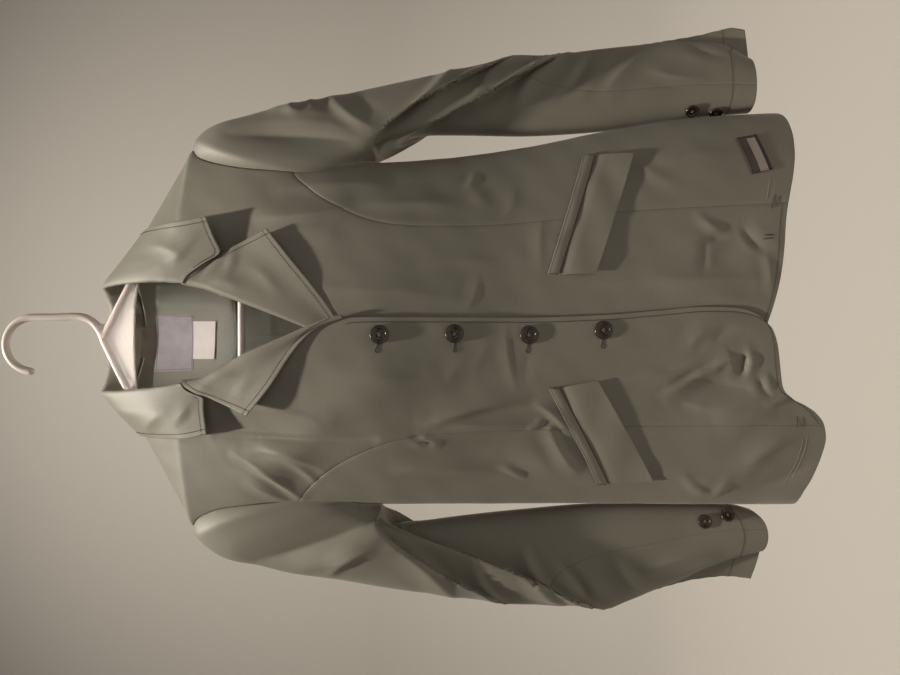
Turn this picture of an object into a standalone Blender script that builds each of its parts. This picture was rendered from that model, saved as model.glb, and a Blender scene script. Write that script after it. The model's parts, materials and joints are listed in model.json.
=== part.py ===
"""Equestrian show jacket, buttoned, hanging on a moulded plastic hanger.

Sizes in the tables are millimetres. x runs to the wearer's left, y to the back
and z up, and the origin is the top of the inside of the hanger's hook, where it
is held. "down" is the distance below the origin, so z = -down.
"""
import math

import bmesh
import bpy
import numpy as np
from mathutils import Vector

# General sizes
MM = 0.001
WALL = 1.4
SEAM_GAP = 0.3
ARMHOLE_GAP = 1.9
SLEEVE_SEAM_GAP = 0.8
LABEL_WALL = 0.9
FACING_WALL = 1.2
FACING_GAP = 2.2
LABEL_GAP = 0.8
FINE = 80
BACK_CENTRE = -2.0

# Shoulders and sides
SHOULDER_TIP = 187.0
UNDERARM = {"right": 378.0, "left": 373.0}
SIDE = {"right": -1.0, "left": 1.0}

# Hanger
HOOK_RADIUS = 27.4
ROD_RADIUS = 4.0
HANGER_CENTRE = 5.2
HANGER_BAR = 236.0
HANGER_END = (188.0, 220.0)
HANGER_END_RADIUS = 16.0
WEB_THICKNESS = 3.0

# Buttons
BUTTON_RADIUS = 8.7
BUTTON_THICKNESS = 3.2
CUFF_BUTTON_RADIUS = 7.0
CUFF_BUTTON_THICKNESS = 2.8

# Base colours, linear
CLOTH = (0.150, 0.138, 0.108)
PLASTIC = (0.80, 0.74, 0.68)
RESIN = (0.020, 0.014, 0.011)
TAPE = (0.30, 0.28, 0.28)


class Table:
    """A short table with named columns, read smoothly between its rows."""

    def __init__(self, names, rows):
        self.names = names.split()
        self.columns = {name: np.array(column, float) for name, column in zip(self.names, zip(*rows))}

    def read(self, name, at):
        """Value of a column where the first column is `at`."""
        knots = self.columns[self.names[0]]
        values = self.columns[name]
        at = np.clip(np.asarray(at, float), knots[0], knots[-1])
        step = np.diff(knots)
        slope = np.diff(values) / step
        tangent = np.concatenate(([slope[0]], np.zeros(len(knots) - 2), [slope[-1]]))
        same = np.flatnonzero(slope[:-1] * slope[1:] > 0)
        before, after = slope[same], slope[same + 1]
        tangent[same + 1] = 2 * before * after / (before + after)
        row = np.clip(np.searchsorted(knots, at, side="right") - 1, 0, len(step) - 1)
        t = (at - knots[row]) / step[row]
        start, end = values[row], values[row + 1]
        return (start * (1 + 2 * t) * (1 - t) ** 2 + end * t * t * (3 - 2 * t)
                + step[row] * t * (1 - t) * (tangent[row] * (1 - t) - tangent[row + 1] * t))

    def rows(self):
        """The rows as dictionaries."""
        return [dict(zip(self.names, row)) for row in zip(*self.columns.values())]


# Width to each side, depth to the front and back, and roundness of the body.
BODY = Table("down right left front back power", [
    (99, -22, 48, 26, 26, 1.35),
    (112, -46, 70, 33, 33, 1.35),
    (138, -93, 114, 42, 40, 1.35),
    (180, -171.3, 186, 49, 48, 1.45),
    (187, -185, 198, 50, 49, 1.5),
    (215, -184, 200, 54, 52, 1.75),
    (250, -179, 198, 59, 55, 2.1),
    (300, -169, 190, 66, 58, 2.5),
    (345, -161.5, 184, 70, 59, 2.7),
    (378, -159.5, 182, 71, 58, 2.7),
    (425, -159.5, 184.5, 69, 54, 2.7),
    (525, -159.5, 198, 63, 47, 2.7),
    (611, -159.5, 215, 64, 51, 2.7),
    (702, -160, 228, 67, 57, 2.7),
    (780, -160, 231, 69, 60, 2.7),
    (830, -159, 230, 69, 60, 2.7),
])

# The armholes' seams, as the distance across at each height.
ARMHOLE = Table("down right left", [
    (187, -185, 198),
    (195, -174.5, 188),
    (205, -168.5, 183),
    (218, -163, 178.5),
    (245, -157, 172),
    (270, -153.5, 168.5),
    (302, -151, 166),
    (332, -150.5, 167),
    (355, -152, 170.5),
    (367, -154.5, 176.5),
    (373, -156.8, 182),
    (378, -159.5, 182),
])

# The princess seams of the front.
PRINCESS = Table("down right left", [
    (297, -156, 164),
    (302, -150, 159),
    (317, -133, 146),
    (335, -117.5, 134),
    (355, -105.5, 123.5),
    (374, -96.5, 116.5),
    (397, -89, 112),
    (430, -83, 110.5),
    (470, -80.5, 111),
    (545, -78.5, 117),
    (620, -76, 125),
    (770, -74, 131.5),
    (800, -74, 132),
])
PRINCESS_TOP = {"right": 302.0, "left": 297.0}
PRINCESS_FOOT = {"right": -74.0, "left": 132.0}
SIDE_FOOT = {"right": 789.0, "left": 771.0}

# Edge of each front from the neck seam at the shoulder down: roll line, then closing edge.
FRONT_EDGE = Table("down right left", [
    (115, -50, 73.6),
    (125, -53, 73.5),
    (138, -53, 72.5),
    (152, -51.5, 71),
    (175, -45, 66),
    (198, -37, 61),
    (215, -33.5, 56),
    (234, -24, 49.5),
    (258, -11, 41),
    (290, 1.5, 29),
    (322, 15, 16),
    (345, 23, 4),
    (360, 25.5, -6),
    (385, 25.8, -12),
    (515, 25.5, -13),
    (590, 28, -13),
    (640, 32, -14),
    (682, 35.5, -13),
    (705, 35, -10),
    (723, 31.5, -3),
    (734, 25, 6),
    (741, 17, 14),
])
EDGE_FOOT = {"right": 739.0, "left": 735.0}
NECK_POINT = 115.0

# Height of the front hem across, from the wearer's right side to the left.
HEM_RIGHT = Table("x down", [
    (-160, 789),
    (-150, 786.5),
    (-143, 786.5),
    (-127, 790),
    (-107, 794.7),
    (-88, 797),
    (-74, 794.3),
    (-63, 786),
    (-55.5, 775),
    (-49, 762),
    (-41.5, 754.5),
    (-27, 751),
    (0, 747.5),
    (14, 743),
    (24, 734),
])
HEM_LEFT = Table("x down", [
    (6, 735),
    (20, 739.5),
    (32, 743.5),
    (65, 752),
    (93, 755.5),
    (116, 757.5),
    (139, 762),
    (159, 767),
    (180, 771),
    (202, 773),
    (217, 773),
    (232, 771),
])
HEM_BACK = Table("x down", [
    (-160, 789),
    (-140, 790),
    (-60, 787),
    (35, 783),
    (130, 780),
    (210, 774),
    (232, 771),
])

# Soft folds of the body: a ridge or trough from one point to another.
FOLDS = Table("face x0 down0 x1 down1 width rise", [
    (1, -140, 250, -75, 335, 16, 3.0),
    (1, -60, 330, -20, 420, 22, 2.0),
    (1, 130, 240, 108, 330, 18, 2.5),
    (1, -95, 500, -120, 580, 14, 3.0),
    (1, -50, 650, -35, 715, 14, -3.0),
    (1, -72, 690, -60, 750, 14, 4.0),
    (1, -150, 660, -112, 742, 16, 3.0),
    (1, 75, 690, 110, 720, 16, -2.5),
    (1, 60, 640, 45, 720, 14, 2.0),
    (1, 160, 640, 175, 740, 18, 2.0),
    (-1, -110, 240, -60, 360, 20, 3.0),
    (-1, 120, 250, 90, 370, 20, 3.0),
    (-1, -60, 470, -110, 560, 16, -3.0),
    (-1, 70, 480, 130, 570, 16, -3.0),
    (-1, -80, 640, -60, 770, 22, 4.0),
    (-1, 110, 640, 120, 765, 22, 4.0),
    (-1, 10, 620, 30, 775, 18, -2.5),
])

# Rings of each sleeve from the armhole to the cuff: outer point, middle of the
# front line, inner point, then how far its front and back stand from the hanger's plane.
RING_COLUMNS = "ring outer_x outer_down mid_x mid_down inner_x inner_down front back"
RINGS = {
    "right": Table(RING_COLUMNS, [
        (0, -185, 187, -152, 283, -159.9, 378.0, -36, 31),
        (1, -193, 191, -156, 289, -160.9, 378.3, -36, 31),
        (2, -205, 204, -160, 296, -161.4, 378.7, -36.5, 31),
        (3, -215, 221, -165, 305, -162.0, 379.1, -37, 32),
        (4, -223, 257, -171, 321, -162.7, 379.4, -38, 33),
        (5, -231, 304, -178, 341, -163.5, 379.7, -39, 34),
        (6, -240, 357, -186, 364, -164.5, 380.0, -40, 35),
        (7, -250, 428, -190, 384, -165.7, 380.3, -41, 34),
        (8, -260, 510, -195, 402, -167.0, 380.7, -41, 33),
        (9, -260.3, 511.5, -202, 398, -167.8, 381.0, -31, 33),
        (10, -260.8, 514, -199, 402, -170.3, 381.3, -27, 33),
        (11, -264, 548, -202, 429, -173.3, 381.9, -30, 32),
        (12, -267, 578, -207, 460, -177.3, 382.8, -32, 32),
        (13, -270, 598, -212, 491, -182.5, 384.3, -33, 31),
        (14, -271, 600, -221, 488, -183.5, 386.0, -20, 30),
        (15, -272, 603, -220, 491, -184.4, 389.0, -10, 29),
        (16, -273, 607, -216, 510, -182.3, 415, -9, 28),
        (17, -272, 610, -213, 536, -176, 466, -9, 27),
        (18, -271, 614, -213, 566, -169.7, 525, -9, 26),
        (19, -268, 620, -210, 601, -164.2, 592, -9, 25),
        (20, -261, 638, -207, 636, -163.4, 642, -9, 25),
        (21, -250, 668, -202, 672, -163.4, 685, -9, 24),
        (22, -241, 704, -197, 705, -163.6, 713, -10, 23),
        (23, -238, 732, -194, 733, -164.2, 736, -11, 22),
        (24, -240, 756, -195, 767, -168.5, 755, -12, 20),
    ]),
    "left": Table(RING_COLUMNS, [
        (0, 198, 187, 167, 281, 182.4, 373.0, -41, 35),
        (1, 205, 191, 172, 288, 183.4, 373.4, -41, 35),
        (2, 215, 202, 178, 295, 183.9, 373.8, -41, 34.5),
        (3, 222, 216, 183, 304, 184.5, 374.2, -41, 34),
        (4, 231, 250, 190, 321, 185.1, 374.5, -41, 34),
        (5, 241, 296, 197, 340, 185.8, 374.8, -41, 34),
        (6, 252, 347, 203, 360, 186.5, 375.1, -41, 35),
        (7, 267, 418, 211, 381, 187.2, 375.4, -41, 34),
        (8, 289, 518, 222, 402, 188.0, 375.8, -41, 33),
        (9, 290, 520, 229, 398, 188.9, 376.3, -31, 33),
        (10, 291, 523, 227, 402, 191.3, 377.0, -27, 33),
        (11, 293, 540, 227, 419, 194.3, 379.0, -30, 32),
        (12, 295, 553, 229, 438, 198.8, 383.0, -32, 32),
        (13, 297, 563, 235, 471, 204.1, 394.0, -33, 31),
        (14, 298, 565, 245, 469, 206.7, 396.6, -20, 30),
        (15, 299, 567.5, 243, 472, 209.7, 400.5, -10, 29),
        (16, 300, 571, 249, 490, 215.0, 418, -9, 28),
        (17, 300, 576, 252, 514, 215.8, 458, -9, 27),
        (18, 301, 585, 253, 549, 214.6, 520, -9, 26),
        (19, 303, 602, 255, 599, 218.6, 596, -9, 25),
        (20, 307, 634, 260, 635, 224.5, 640, -9, 25),
        (21, 312, 668, 265, 669, 229.5, 673, -9, 24),
        (22, 318, 705, 269, 702, 233.2, 705, -10, 23),
        (23, 325, 737, 272, 730, 235.6, 732, -11, 22),
        (24, 322, 750, 273, 755, 236.8, 754, -12, 20),
    ]),
}
LAST_RING = 24.0
FOLDS_START, FOLDS_END = 8.0, 17.0
FOLD_FADE = 0.12

# Place of the two sleeve seams round the sleeve, in turns from its outer line
# towards the front, and how far the front layer's outer edge lies inside the back layer's.
SEAMS = Table("ring under_start under_end lap", [
    (0, 0.39, 0.83, 0.0),
    (7, 0.39, 0.94, 0.0),
    (10, 0.39, 1.02, 0.0),
    (13, 0.40, 1.12, 0.0),
    (15, 0.44, 1.16, 0.0),
    (16, 0.50, 1.18, 0.0),
    (17, 0.58, 1.20, 0.0),
    (19, 0.74, 1.25, 0.0),
    (21, 0.81, 1.27, 0.02),
    (22, 0.83, 1.28, 0.08),
    (23, 0.84, 1.29, 0.18),
    (24, 0.85, 1.30, 0.30),
])

# Lines round the collar from the wearer's right front to the left front:
# fold, middle and outer edge of the fall, each as x, y, down.
COLLAR = Table("station fold_x fold_y fold_down fall_x fall_y fall_down edge_x edge_y edge_down", [
    (0, -36.5, -52.5, 193, -50.5, -58, 217, -83, -60, 222),
    (1, -42, -41, 156, -65, -49, 176, -88.5, -52, 196),
    (2, -48.5, 0, 93, -69, -1, 111, -92, 1, 133),
    (3, -26, 27, 86.5, -37, 37, 108, -48, 39, 132),
    (4, 10, 36, 85, 10, 46, 106, 10, 51, 132),
    (5, 44, 27, 87, 56, 37, 107, 68, 39, 132),
    (6, 57, 0, 94.5, 82, -1, 113, 114, 2, 136),
    (7, 60.5, -41, 158, 85, -51, 189, 116, -51, 189),
    (8, 58.5, -52.5, 195, 88, -59, 233, 120, -60, 221),
])
COLLAR_STATIONS = 8.0
COLLAR_END = 194.0
NECK_MIDDLE = np.array([11.0, 0.0, 0.0])
COLLAR_FOLD = 3.2

# Each lapel: its edge from the gorge to the tip and from the tip to the break,
# as distance across, height and stand-off from the front below it.
LAPEL_TOP = {
    "right": Table("along x down lift", [(0, -35.5, 198, 4), (0.4, -47, 221, 7), (1, -63, 265, 14)]),
    "left": Table("along x down lift", [(0, 59.5, 199, 3), (0.45, 87, 239, 7), (1, 107, 281, 14)]),
}
LAPEL_OUTER = {
    "right": Table("along x down lift", [
        (0, -63, 265, 14), (0.35, -36, 287, 12), (0.65, -8, 305, 9), (0.85, 13, 324, 7), (1, 25, 351, 6)]),
    "left": Table("along x down lift", [
        (0, 107, 281, 14), (0.3, 81, 301, 11), (0.55, 58, 320, 7), (0.8, 31, 340, 1.8), (1, 10, 352, 1.3)]),
}
LAPEL_START = 199.5
LAPEL_BREAK = {"right": 351.0, "left": 345.0}
ROLL_TOP, ROLL_BREAK = 1.9, 1.2
LAPEL_GAP = 1.2

# Pockets: the welt's upper corners, and the flap's lower corners.
POCKETS = {
    "right": {"inner": (-39, 538), "outer": (-132, 588), "flap_inner": (-32, 584), "flap_outer": (-128, 641)},
    "left": {"inner": (65, 538), "outer": (180, 575), "flap_inner": (66, 583), "flap_outer": (180, 622)},
}
WELT_HEIGHT = 10.0
WELT_WALL = 1.2
FLAP_START = 10.6
FLAP_LIFT, FLAP_FLARE = 2.0, 4.0

FRONT_BUTTONS = Table("number x down", [(1, 9.7, 384), (2, 10.6, 452), (3, 9.5, 521), (4, 13.8, 589)])
CUFF_BUTTONS = {"right": [(-178, 704), (-172, 727)], "left": [(237, 693), (236, 718)]}


def remove_everything():
    """Start from an empty scene."""
    for thing in list(bpy.data.objects):
        bpy.data.objects.remove(thing, do_unlink=True)


def paint(name, colour, roughness):
    """A plain material."""
    material = bpy.data.materials.new(name)
    material.use_nodes = True
    shader = material.node_tree.nodes["Principled BSDF"]
    shader.inputs["Base Color"].default_value = (*colour, 1.0)
    shader.inputs["Roughness"].default_value = roughness
    shader.inputs["Metallic"].default_value = 0.0
    return material


def mix(start, end, share):
    """Value between two others."""
    return start + (end - start) * share


def ease(share):
    """Smooth step from 0 to 1."""
    share = np.clip(share, 0.0, 1.0)
    return share * share * (3 - 2 * share)


def unit(vectors):
    """Vectors brought to length 1."""
    return vectors / np.maximum(np.linalg.norm(vectors, axis=-1, keepdims=True), 1e-9)


def plain_body(s, down):
    """Point of the body: s is 0 in front, -1 and 1 at the sides and -2 or -3..2 behind."""
    s, down = np.broadcast_arrays(np.asarray(s, float), np.asarray(down, float))
    right, left = BODY.read("right", down), BODY.read("left", down)
    power = BODY.read("power", down)
    sine, cosine = np.sin(s * math.pi / 2), np.cos(s * math.pi / 2)
    reach = (np.abs(sine) ** power + np.abs(cosine) ** power) ** (-1 / power)
    depth = np.where(cosine > 0, BODY.read("front", down), BODY.read("back", down))
    x = (right + left) / 2 + (left - right) / 2 * reach * sine
    return np.stack([x, -depth * reach * cosine, -down], axis=-1)


def around(x, down):
    """The value s of the front's point at x."""
    right, left = BODY.read("right", down), BODY.read("left", down)
    power = BODY.read("power", down)
    across = np.clip((x - (right + left) / 2) / ((left - right) / 2), -1, 1)
    rest = (1 - np.abs(across) ** power) ** (1 / power)
    return np.arctan2(across, rest) * 2 / math.pi


def behind(x, down):
    """The value s of the back's point at x, from -1 at the right side to -3 at the left."""
    return -2 - around(x, down)


def fold_rise(points, facing):
    """How far the folds lift the cloth at these points."""
    rise = np.zeros(points.shape[:-1])
    for fold in FOLDS.rows():
        start = np.array([fold["x0"], -fold["down0"]])
        line = np.array([fold["x1"], -fold["down1"]]) - start
        away = points[..., [0, 2]] - start
        share = np.clip(away @ line / (line @ line), 0, 1)
        distance = np.linalg.norm(away - share[..., None] * line, axis=-1)
        taper = 0.35 + 0.65 * np.sin(math.pi * share)
        lift = fold["rise"] * taper * np.exp(-(distance / fold["width"]) ** 2)
        rise = rise + np.where(facing * fold["face"] > 0, lift * np.minimum(1, np.abs(facing) * 2), 0)
    return rise


def normals(surface, s, down):
    """Outward directions of a surface of s and down."""
    turn = surface(s + 0.02, down) - surface(s - 0.02, down)
    drop = surface(s, down + 2.0) - surface(s, down - 2.0)
    return unit(np.cross(drop, turn))


def folded_body(s, down):
    """The body with its folds."""
    s, down = np.broadcast_arrays(np.asarray(s, float), np.asarray(down, float))
    points = plain_body(s, down)
    facing = np.cos(s * math.pi / 2)
    return points + normals(plain_body, s, down) * fold_rise(points, facing)[..., None]


def body_point(s, down, lift=0.0):
    """A point that lies `lift` outside the body's cloth."""
    s, down, lift = np.broadcast_arrays(np.asarray(s, float), np.asarray(down, float), np.asarray(lift, float))
    return folded_body(s, down) + normals(folded_body, s, down) * lift[..., None]


def cloth_object(name, outer, inner, material):
    """A closed wall between two grids of points."""
    rows, columns = outer.shape[:2]
    count = rows * columns
    points = np.concatenate([outer.reshape(-1, 3), inner.reshape(-1, 3)]) * MM

    def quad(row, column, layer, flip):
        corners = [(row, column), (row, column + 1), (row + 1, column + 1), (row + 1, column)]
        faces = [layer * count + r * columns + c for r, c in corners]
        return faces[::-1] if flip else faces

    def rim(first, second, flip):
        face = [first, second, second + count, first + count]
        return face[::-1] if flip else face

    across = outer[:-1, 1:] - outer[:-1, :-1]
    along = outer[1:, :-1] - outer[:-1, :-1]
    turned = np.sum(np.cross(across, along) * (outer - inner)[:-1, :-1]) < 0
    faces = []
    for row in range(rows - 1):
        for column in range(columns - 1):
            faces.append(quad(row, column, 0, turned))
            faces.append(quad(row, column, 1, not turned))
    last = (rows - 1) * columns
    for column in range(columns - 1):
        faces.append(rim(column, column + 1, not turned))
        faces.append(rim(last + column, last + column + 1, turned))
    for row in range(rows - 1):
        first, second = row * columns, (row + 1) * columns
        faces.append(rim(first, second, turned))
        faces.append(rim(first + columns - 1, second + columns - 1, not turned))
    mesh = bpy.data.meshes.new(name)
    mesh.from_pydata(points.tolist(), [], faces)
    mesh.validate()
    mesh.shade_smooth()
    mesh.set_sharp_from_angle(angle=math.radians(50))
    return add_object(name, mesh, material)


def add_object(name, mesh, material):
    """Put a mesh in the scene as one sub-part."""
    mesh.materials.append(material)
    thing = bpy.data.objects.new(name, mesh)
    bpy.context.scene.collection.objects.link(thing)
    return thing


def coons(top, bottom, left, right):
    """Fill between four edges, each an array of rows of values."""
    a = np.linspace(0, 1, len(top))[None, :, None]
    b = np.linspace(0, 1, len(left))[:, None, None]
    straight = (mix(mix(top[0], top[-1], a), mix(bottom[0], bottom[-1], a), b))
    return (mix(top[None], bottom[None], b) + mix(left[:, None], right[:, None], a) - straight)


def curve_down(find_s, start, end):
    """Edge that runs down from one height to another."""
    down = np.linspace(start, end, FINE)
    return np.stack([find_s(down), down], axis=-1)


def respaced(edge, count):
    """An edge of values resampled evenly along the cloth."""
    points = body_point(edge[:, 0], edge[:, 1])
    length = np.concatenate([[0], np.cumsum(np.linalg.norm(np.diff(points, axis=0), axis=1))])
    at = np.linspace(0, length[-1], count)
    return np.stack([np.interp(at, length, edge[:, 0]), np.interp(at, length, edge[:, 1])], axis=-1)


def joined(*edges):
    """Edges end to end."""
    return np.concatenate([edges[0]] + [edge[1:] for edge in edges[1:]])


def shifted(edge, amount):
    """An edge moved along s by a distance in millimetres."""
    step = 0.004
    reach = np.linalg.norm(body_point(edge[:, 0] + step, edge[:, 1]) - body_point(edge[:, 0] - step, edge[:, 1]),
                           axis=1) / (2 * step)
    return np.stack([edge[:, 0] + amount / reach, edge[:, 1]], axis=-1)


def hem_edge(table, find_s, start_x, end_x):
    """Edge along a hem."""
    x = np.linspace(start_x, end_x, FINE)
    down = table.read("down", x)
    return np.stack([find_s(x, down), down], axis=-1)


def front_lift(side, s, down):
    """How far a front lies outside the body: the right one closes over the left."""
    if side == "left":
        return np.zeros(np.shape(s))
    x = plain_body(s, down)[..., 0]
    height = mix(4.6, 3.0, ease((down - 370) / 60))
    return height * ease((x + 70) / 50) * ease((down - 210) / 70)


def corners_met(top, bottom, left, right):
    """Give two side edges the end points of the top and bottom edges."""
    left[0], left[-1] = top[0], bottom[0]
    right[0], right[-1] = top[-1], bottom[-1]
    return coons(top, bottom, left, right)


def front_panels(material):
    """The fronts and side fronts."""
    for side, sign in SIDE.items():
        half_gap = sign * SEAM_GAP / 2
        hem_table = HEM_RIGHT if side == "right" else HEM_LEFT
        seam_foot = float(hem_table.read("down", PRINCESS_FOOT[side]))
        foot_x = float(PRINCESS.read(side, seam_foot))
        edge_x = float(FRONT_EDGE.read(side, EDGE_FOOT[side]))
        closing = curve_down(lambda d: around(FRONT_EDGE.read(side, d), d), NECK_POINT, EDGE_FOOT[side])
        shoulder = curve_down(lambda d: np.full(len(d), sign), NECK_POINT, SHOULDER_TIP)
        arm = curve_down(lambda d: around(ARMHOLE.read(side, d), d), SHOULDER_TIP, PRINCESS_TOP[side])
        seam = curve_down(lambda d: around(PRINCESS.read(side, d), d), PRINCESS_TOP[side], seam_foot)
        seam = respaced(seam, 20)
        hem = respaced(hem_edge(hem_table, around, edge_x, foot_x), 9)
        far_edge = shifted(joined(respaced(arm, 9), seam), -half_gap)
        shoulder = shifted(respaced(shoulder, 9), -half_gap)
        grid = corners_met(shoulder, hem, respaced(closing, 28), far_edge)
        s, down = grid[..., 0], grid[..., 1]
        lift = front_lift(side, s, down)
        cloth_object(f"front_{side}", body_point(s, down, lift), body_point(s, down, lift - WALL), material)

        foot = SIDE_FOOT[side]
        arm = curve_down(lambda d: around(ARMHOLE.read(side, d), d), PRINCESS_TOP[side], UNDERARM[side])
        side_seam = curve_down(lambda d: np.full(len(d), sign), UNDERARM[side], foot)
        side_seam = shifted(respaced(side_seam, 20), -half_gap)
        hem = respaced(hem_edge(hem_table, around, foot_x, float(BODY.read(side, foot))), 9)
        grid = corners_met(respaced(arm, 9), hem, shifted(seam, half_gap), side_seam)
        s, down = grid[..., 0], grid[..., 1]
        cloth_object(f"front_side_{side}", body_point(s, down), body_point(s, down, -WALL), material)


def neck_down(s):
    """Height of the back's neck edge."""
    return NECK_POINT + 8.0 * np.sin(np.clip((-1 - s) / 2, 0, 1) * math.pi)


def back_panels(material):
    """The two backs, from the centre seam to the sides."""
    for side, edge_s in (("right", -1.0), ("left", -3.0)):
        half_gap = SEAM_GAP / 2 if side == "left" else -SEAM_GAP / 2
        neck_s = np.linspace(BACK_CENTRE, edge_s, 20)
        neck = respaced(np.stack([neck_s, neck_down(neck_s)], axis=-1), 5)
        shoulder = curve_down(lambda d: np.full(len(d), edge_s), NECK_POINT, SHOULDER_TIP)
        shoulder = shifted(respaced(shoulder, 9), half_gap)
        arm = curve_down(lambda d: behind(ARMHOLE.read(side, d), d), SHOULDER_TIP, UNDERARM[side])
        foot = SIDE_FOOT[side]
        side_seam = curve_down(lambda d: np.full(len(d), edge_s), UNDERARM[side], foot)
        side_seam = shifted(respaced(side_seam, 14), half_gap)
        centre_x = float(plain_body(BACK_CENTRE, 783.0)[0])
        hem = respaced(hem_edge(HEM_BACK, behind, centre_x, float(BODY.read(side, foot))), 13)
        centre = curve_down(lambda d: np.full(len(d), BACK_CENTRE), neck[0, 1], hem[0, 1])
        centre = shifted(respaced(centre, 24), -half_gap)
        top = joined(neck, shoulder)
        top[0], hem[0], hem[-1] = centre[0], centre[-1], side_seam[-1]
        grid = corners_met(top, hem, centre, joined(respaced(arm, 11), side_seam))
        s, down = grid[..., 0], grid[..., 1]
        cloth_object(f"back_{side}", body_point(s, down), body_point(s, down, -WALL), material)


def back_facing(material):
    """The neck facing inside the backs, where the labels are sewn."""
    ends = 138.0
    first, last = -1.2, -2.8
    neck_s = np.linspace(first, last, 30)
    neck = np.stack([neck_s, neck_down(neck_s) + 0.6], axis=-1)
    rise = np.linspace(ends, neck[0, 1], 8)
    fall = np.linspace(neck[-1, 1], ends, 8)
    top = joined(np.stack([np.full(8, first), rise], -1), neck, np.stack([np.full(8, last), fall], -1))
    low_s = np.linspace(first, last, 30)
    low_down = 145.0 + 71.0 * np.sin(np.linspace(0, math.pi, 30)) ** 0.8
    low = np.stack([low_s, low_down], axis=-1)
    short = [np.stack([np.full(4, at), np.linspace(ends, 145.0, 4)], -1) for at in (first, last)]
    grid = corners_met(respaced(top, 17), respaced(low, 17), respaced(short[0], 6), respaced(short[1], 6))
    s, down = grid[..., 0], grid[..., 1]
    lift = -WALL - FACING_GAP
    cloth_object("back_facing", body_point(s, down, lift), body_point(s, down, lift - FACING_WALL), material)


def lapels(material):
    """The turned-back fronts, rolled over at the roll line."""
    curl_share = 0.09
    across = np.array([0.0, 0.02, 0.05, curl_share, 0.2, 0.4, 0.6, 0.8, 1.0])
    flat = np.clip((across - curl_share) / (1 - curl_share), 0, 1)
    angle = np.clip(across / curl_share, 0, 1) * math.pi
    for side, sign in SIDE.items():
        top, outer = LAPEL_TOP[side], LAPEL_OUTER[side]
        grids = {name: [] for name in ("x", "down", "lift")}
        for along in np.linspace(0, 1, 13):
            down = mix(LAPEL_START, LAPEL_BREAK[side], along)
            x = FRONT_EDGE.read(side, down)
            start = {"x": x, "down": down, "lift": front_lift(side, around(x, down), down) - WALL / 2}
            radius = mix(ROLL_TOP, ROLL_BREAK if side == "left" else ROLL_TOP, ease(along * 1.3))
            curled = {"x": -sign * (LAPEL_GAP + radius * np.sin(angle)) * (1 - flat) ** 6, "down": 0,
                      "lift": radius * (1 - np.cos(angle)) * (1 - ease(flat * 1.4))}
            for name, rows in grids.items():
                line = mix(start[name], outer.read(name, along), flat)
                first, last = top.read(name, 0), top.read(name, 1)
                bow = (top.read(name, flat) - mix(first, last, flat)) * (1 - along)
                rows.append(line + bow + curled[name])
        x, down, lift = (np.array(grids[name]) for name in ("x", "down", "lift"))
        middle = body_point(around(x, down), down, lift)
        cloth_object(f"lapel_{side}", *thicken(middle, WALL), material)


def thicken(grid, wall):
    """The two faces of a wall on each side of a grid's middle."""
    out = unit(np.cross(np.gradient(grid, axis=1), np.gradient(grid, axis=0)))
    return grid + out * wall / 2, grid - out * wall / 2


def neck_edge(station):
    """Point of the neck's edge beside a station of the collar."""
    nearness = np.abs(station - COLLAR_STATIONS / 2) - 2
    down = mix(NECK_POINT, COLLAR_END, np.clip(nearness / 2, 0, 1))
    right = station < COLLAR_STATIONS / 2
    front_x = np.where(right, FRONT_EDGE.read("right", down), FRONT_EDGE.read("left", down))
    back_s = mix(-1.0, -3.0, np.clip((station - 2) / 4, 0, 1))
    front = body_point(around(front_x, down), down, -WALL / 2)
    back = body_point(back_s, neck_down(back_s), -WALL / 2)
    return np.where((nearness > 0)[:, None], front, back)


def collar(material):
    """Stand and fall of the collar in one piece."""
    stations = np.linspace(0, COLLAR_STATIONS, 25)
    read = {name: COLLAR.read(name, stations) for name in COLLAR.names[1:]}
    fold, fall, edge = (np.stack([read[part + "_x"], read[part + "_y"], -read[part + "_down"]], axis=-1)
                        for part in ("fold", "fall", "edge"))
    seam = neck_edge(stations)
    level = np.array([1.0, 1.0, 0.0])
    seam = seam + unit((NECK_MIDDLE - seam) * level) * (WALL + SEAM_GAP) + np.array([0, 0, 0.8])
    outward = unit((fall - fold) * level)
    below = unit(mix(seam, fall, 0.5) - fold) * COLLAR_FOLD
    inner_side = fold - outward * COLLAR_FOLD + below * 1.6
    outer_side = fold + outward * COLLAR_FOLD + below * 1.6
    points = np.stack([seam, mix(seam, inner_side, 0.5), inner_side, mix(inner_side, fold, 0.6) - below * 0.25,
                       fold, mix(outer_side, fold, 0.6) - below * 0.25, outer_side,
                       mix(outer_side, fall, 0.5), fall, mix(fall, edge, 0.5), edge], axis=1)
    cloth_object("collar", *thicken(points, WALL), material)


def armhole_point(side, turn):
    """Point of the armhole's seam: turn is 0 at the shoulder, 0.25 in front, 0.5 under the arm."""
    turn = np.asarray(turn, float) % 1.0
    share = (1 - np.cos(turn * 2 * math.pi)) / 2
    down = mix(SHOULDER_TIP, UNDERARM[side], share)
    x = ARMHOLE.read(side, down)
    s = around(x, down)
    back = (-2 - s) if side == "right" else (2 - s)
    return body_point(np.where(turn > 0.5, back, s), down)


def smooth_depths(table, ring, outer_down):
    """Front and back of a sleeve along its outer line, with no step at the elbow's folds."""
    top, foot = table.read("outer_down", FOLDS_START), table.read("outer_down", FOLDS_END)
    share = np.clip((outer_down - top) / (foot - top), 0, 1)
    inside = (ring > FOLDS_START) & (ring < FOLDS_END)
    return [np.where(inside, mix(table.read(name, FOLDS_START), table.read(name, FOLDS_END), share),
                     table.read(name, ring)) for name in ("front", "back")]


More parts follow.
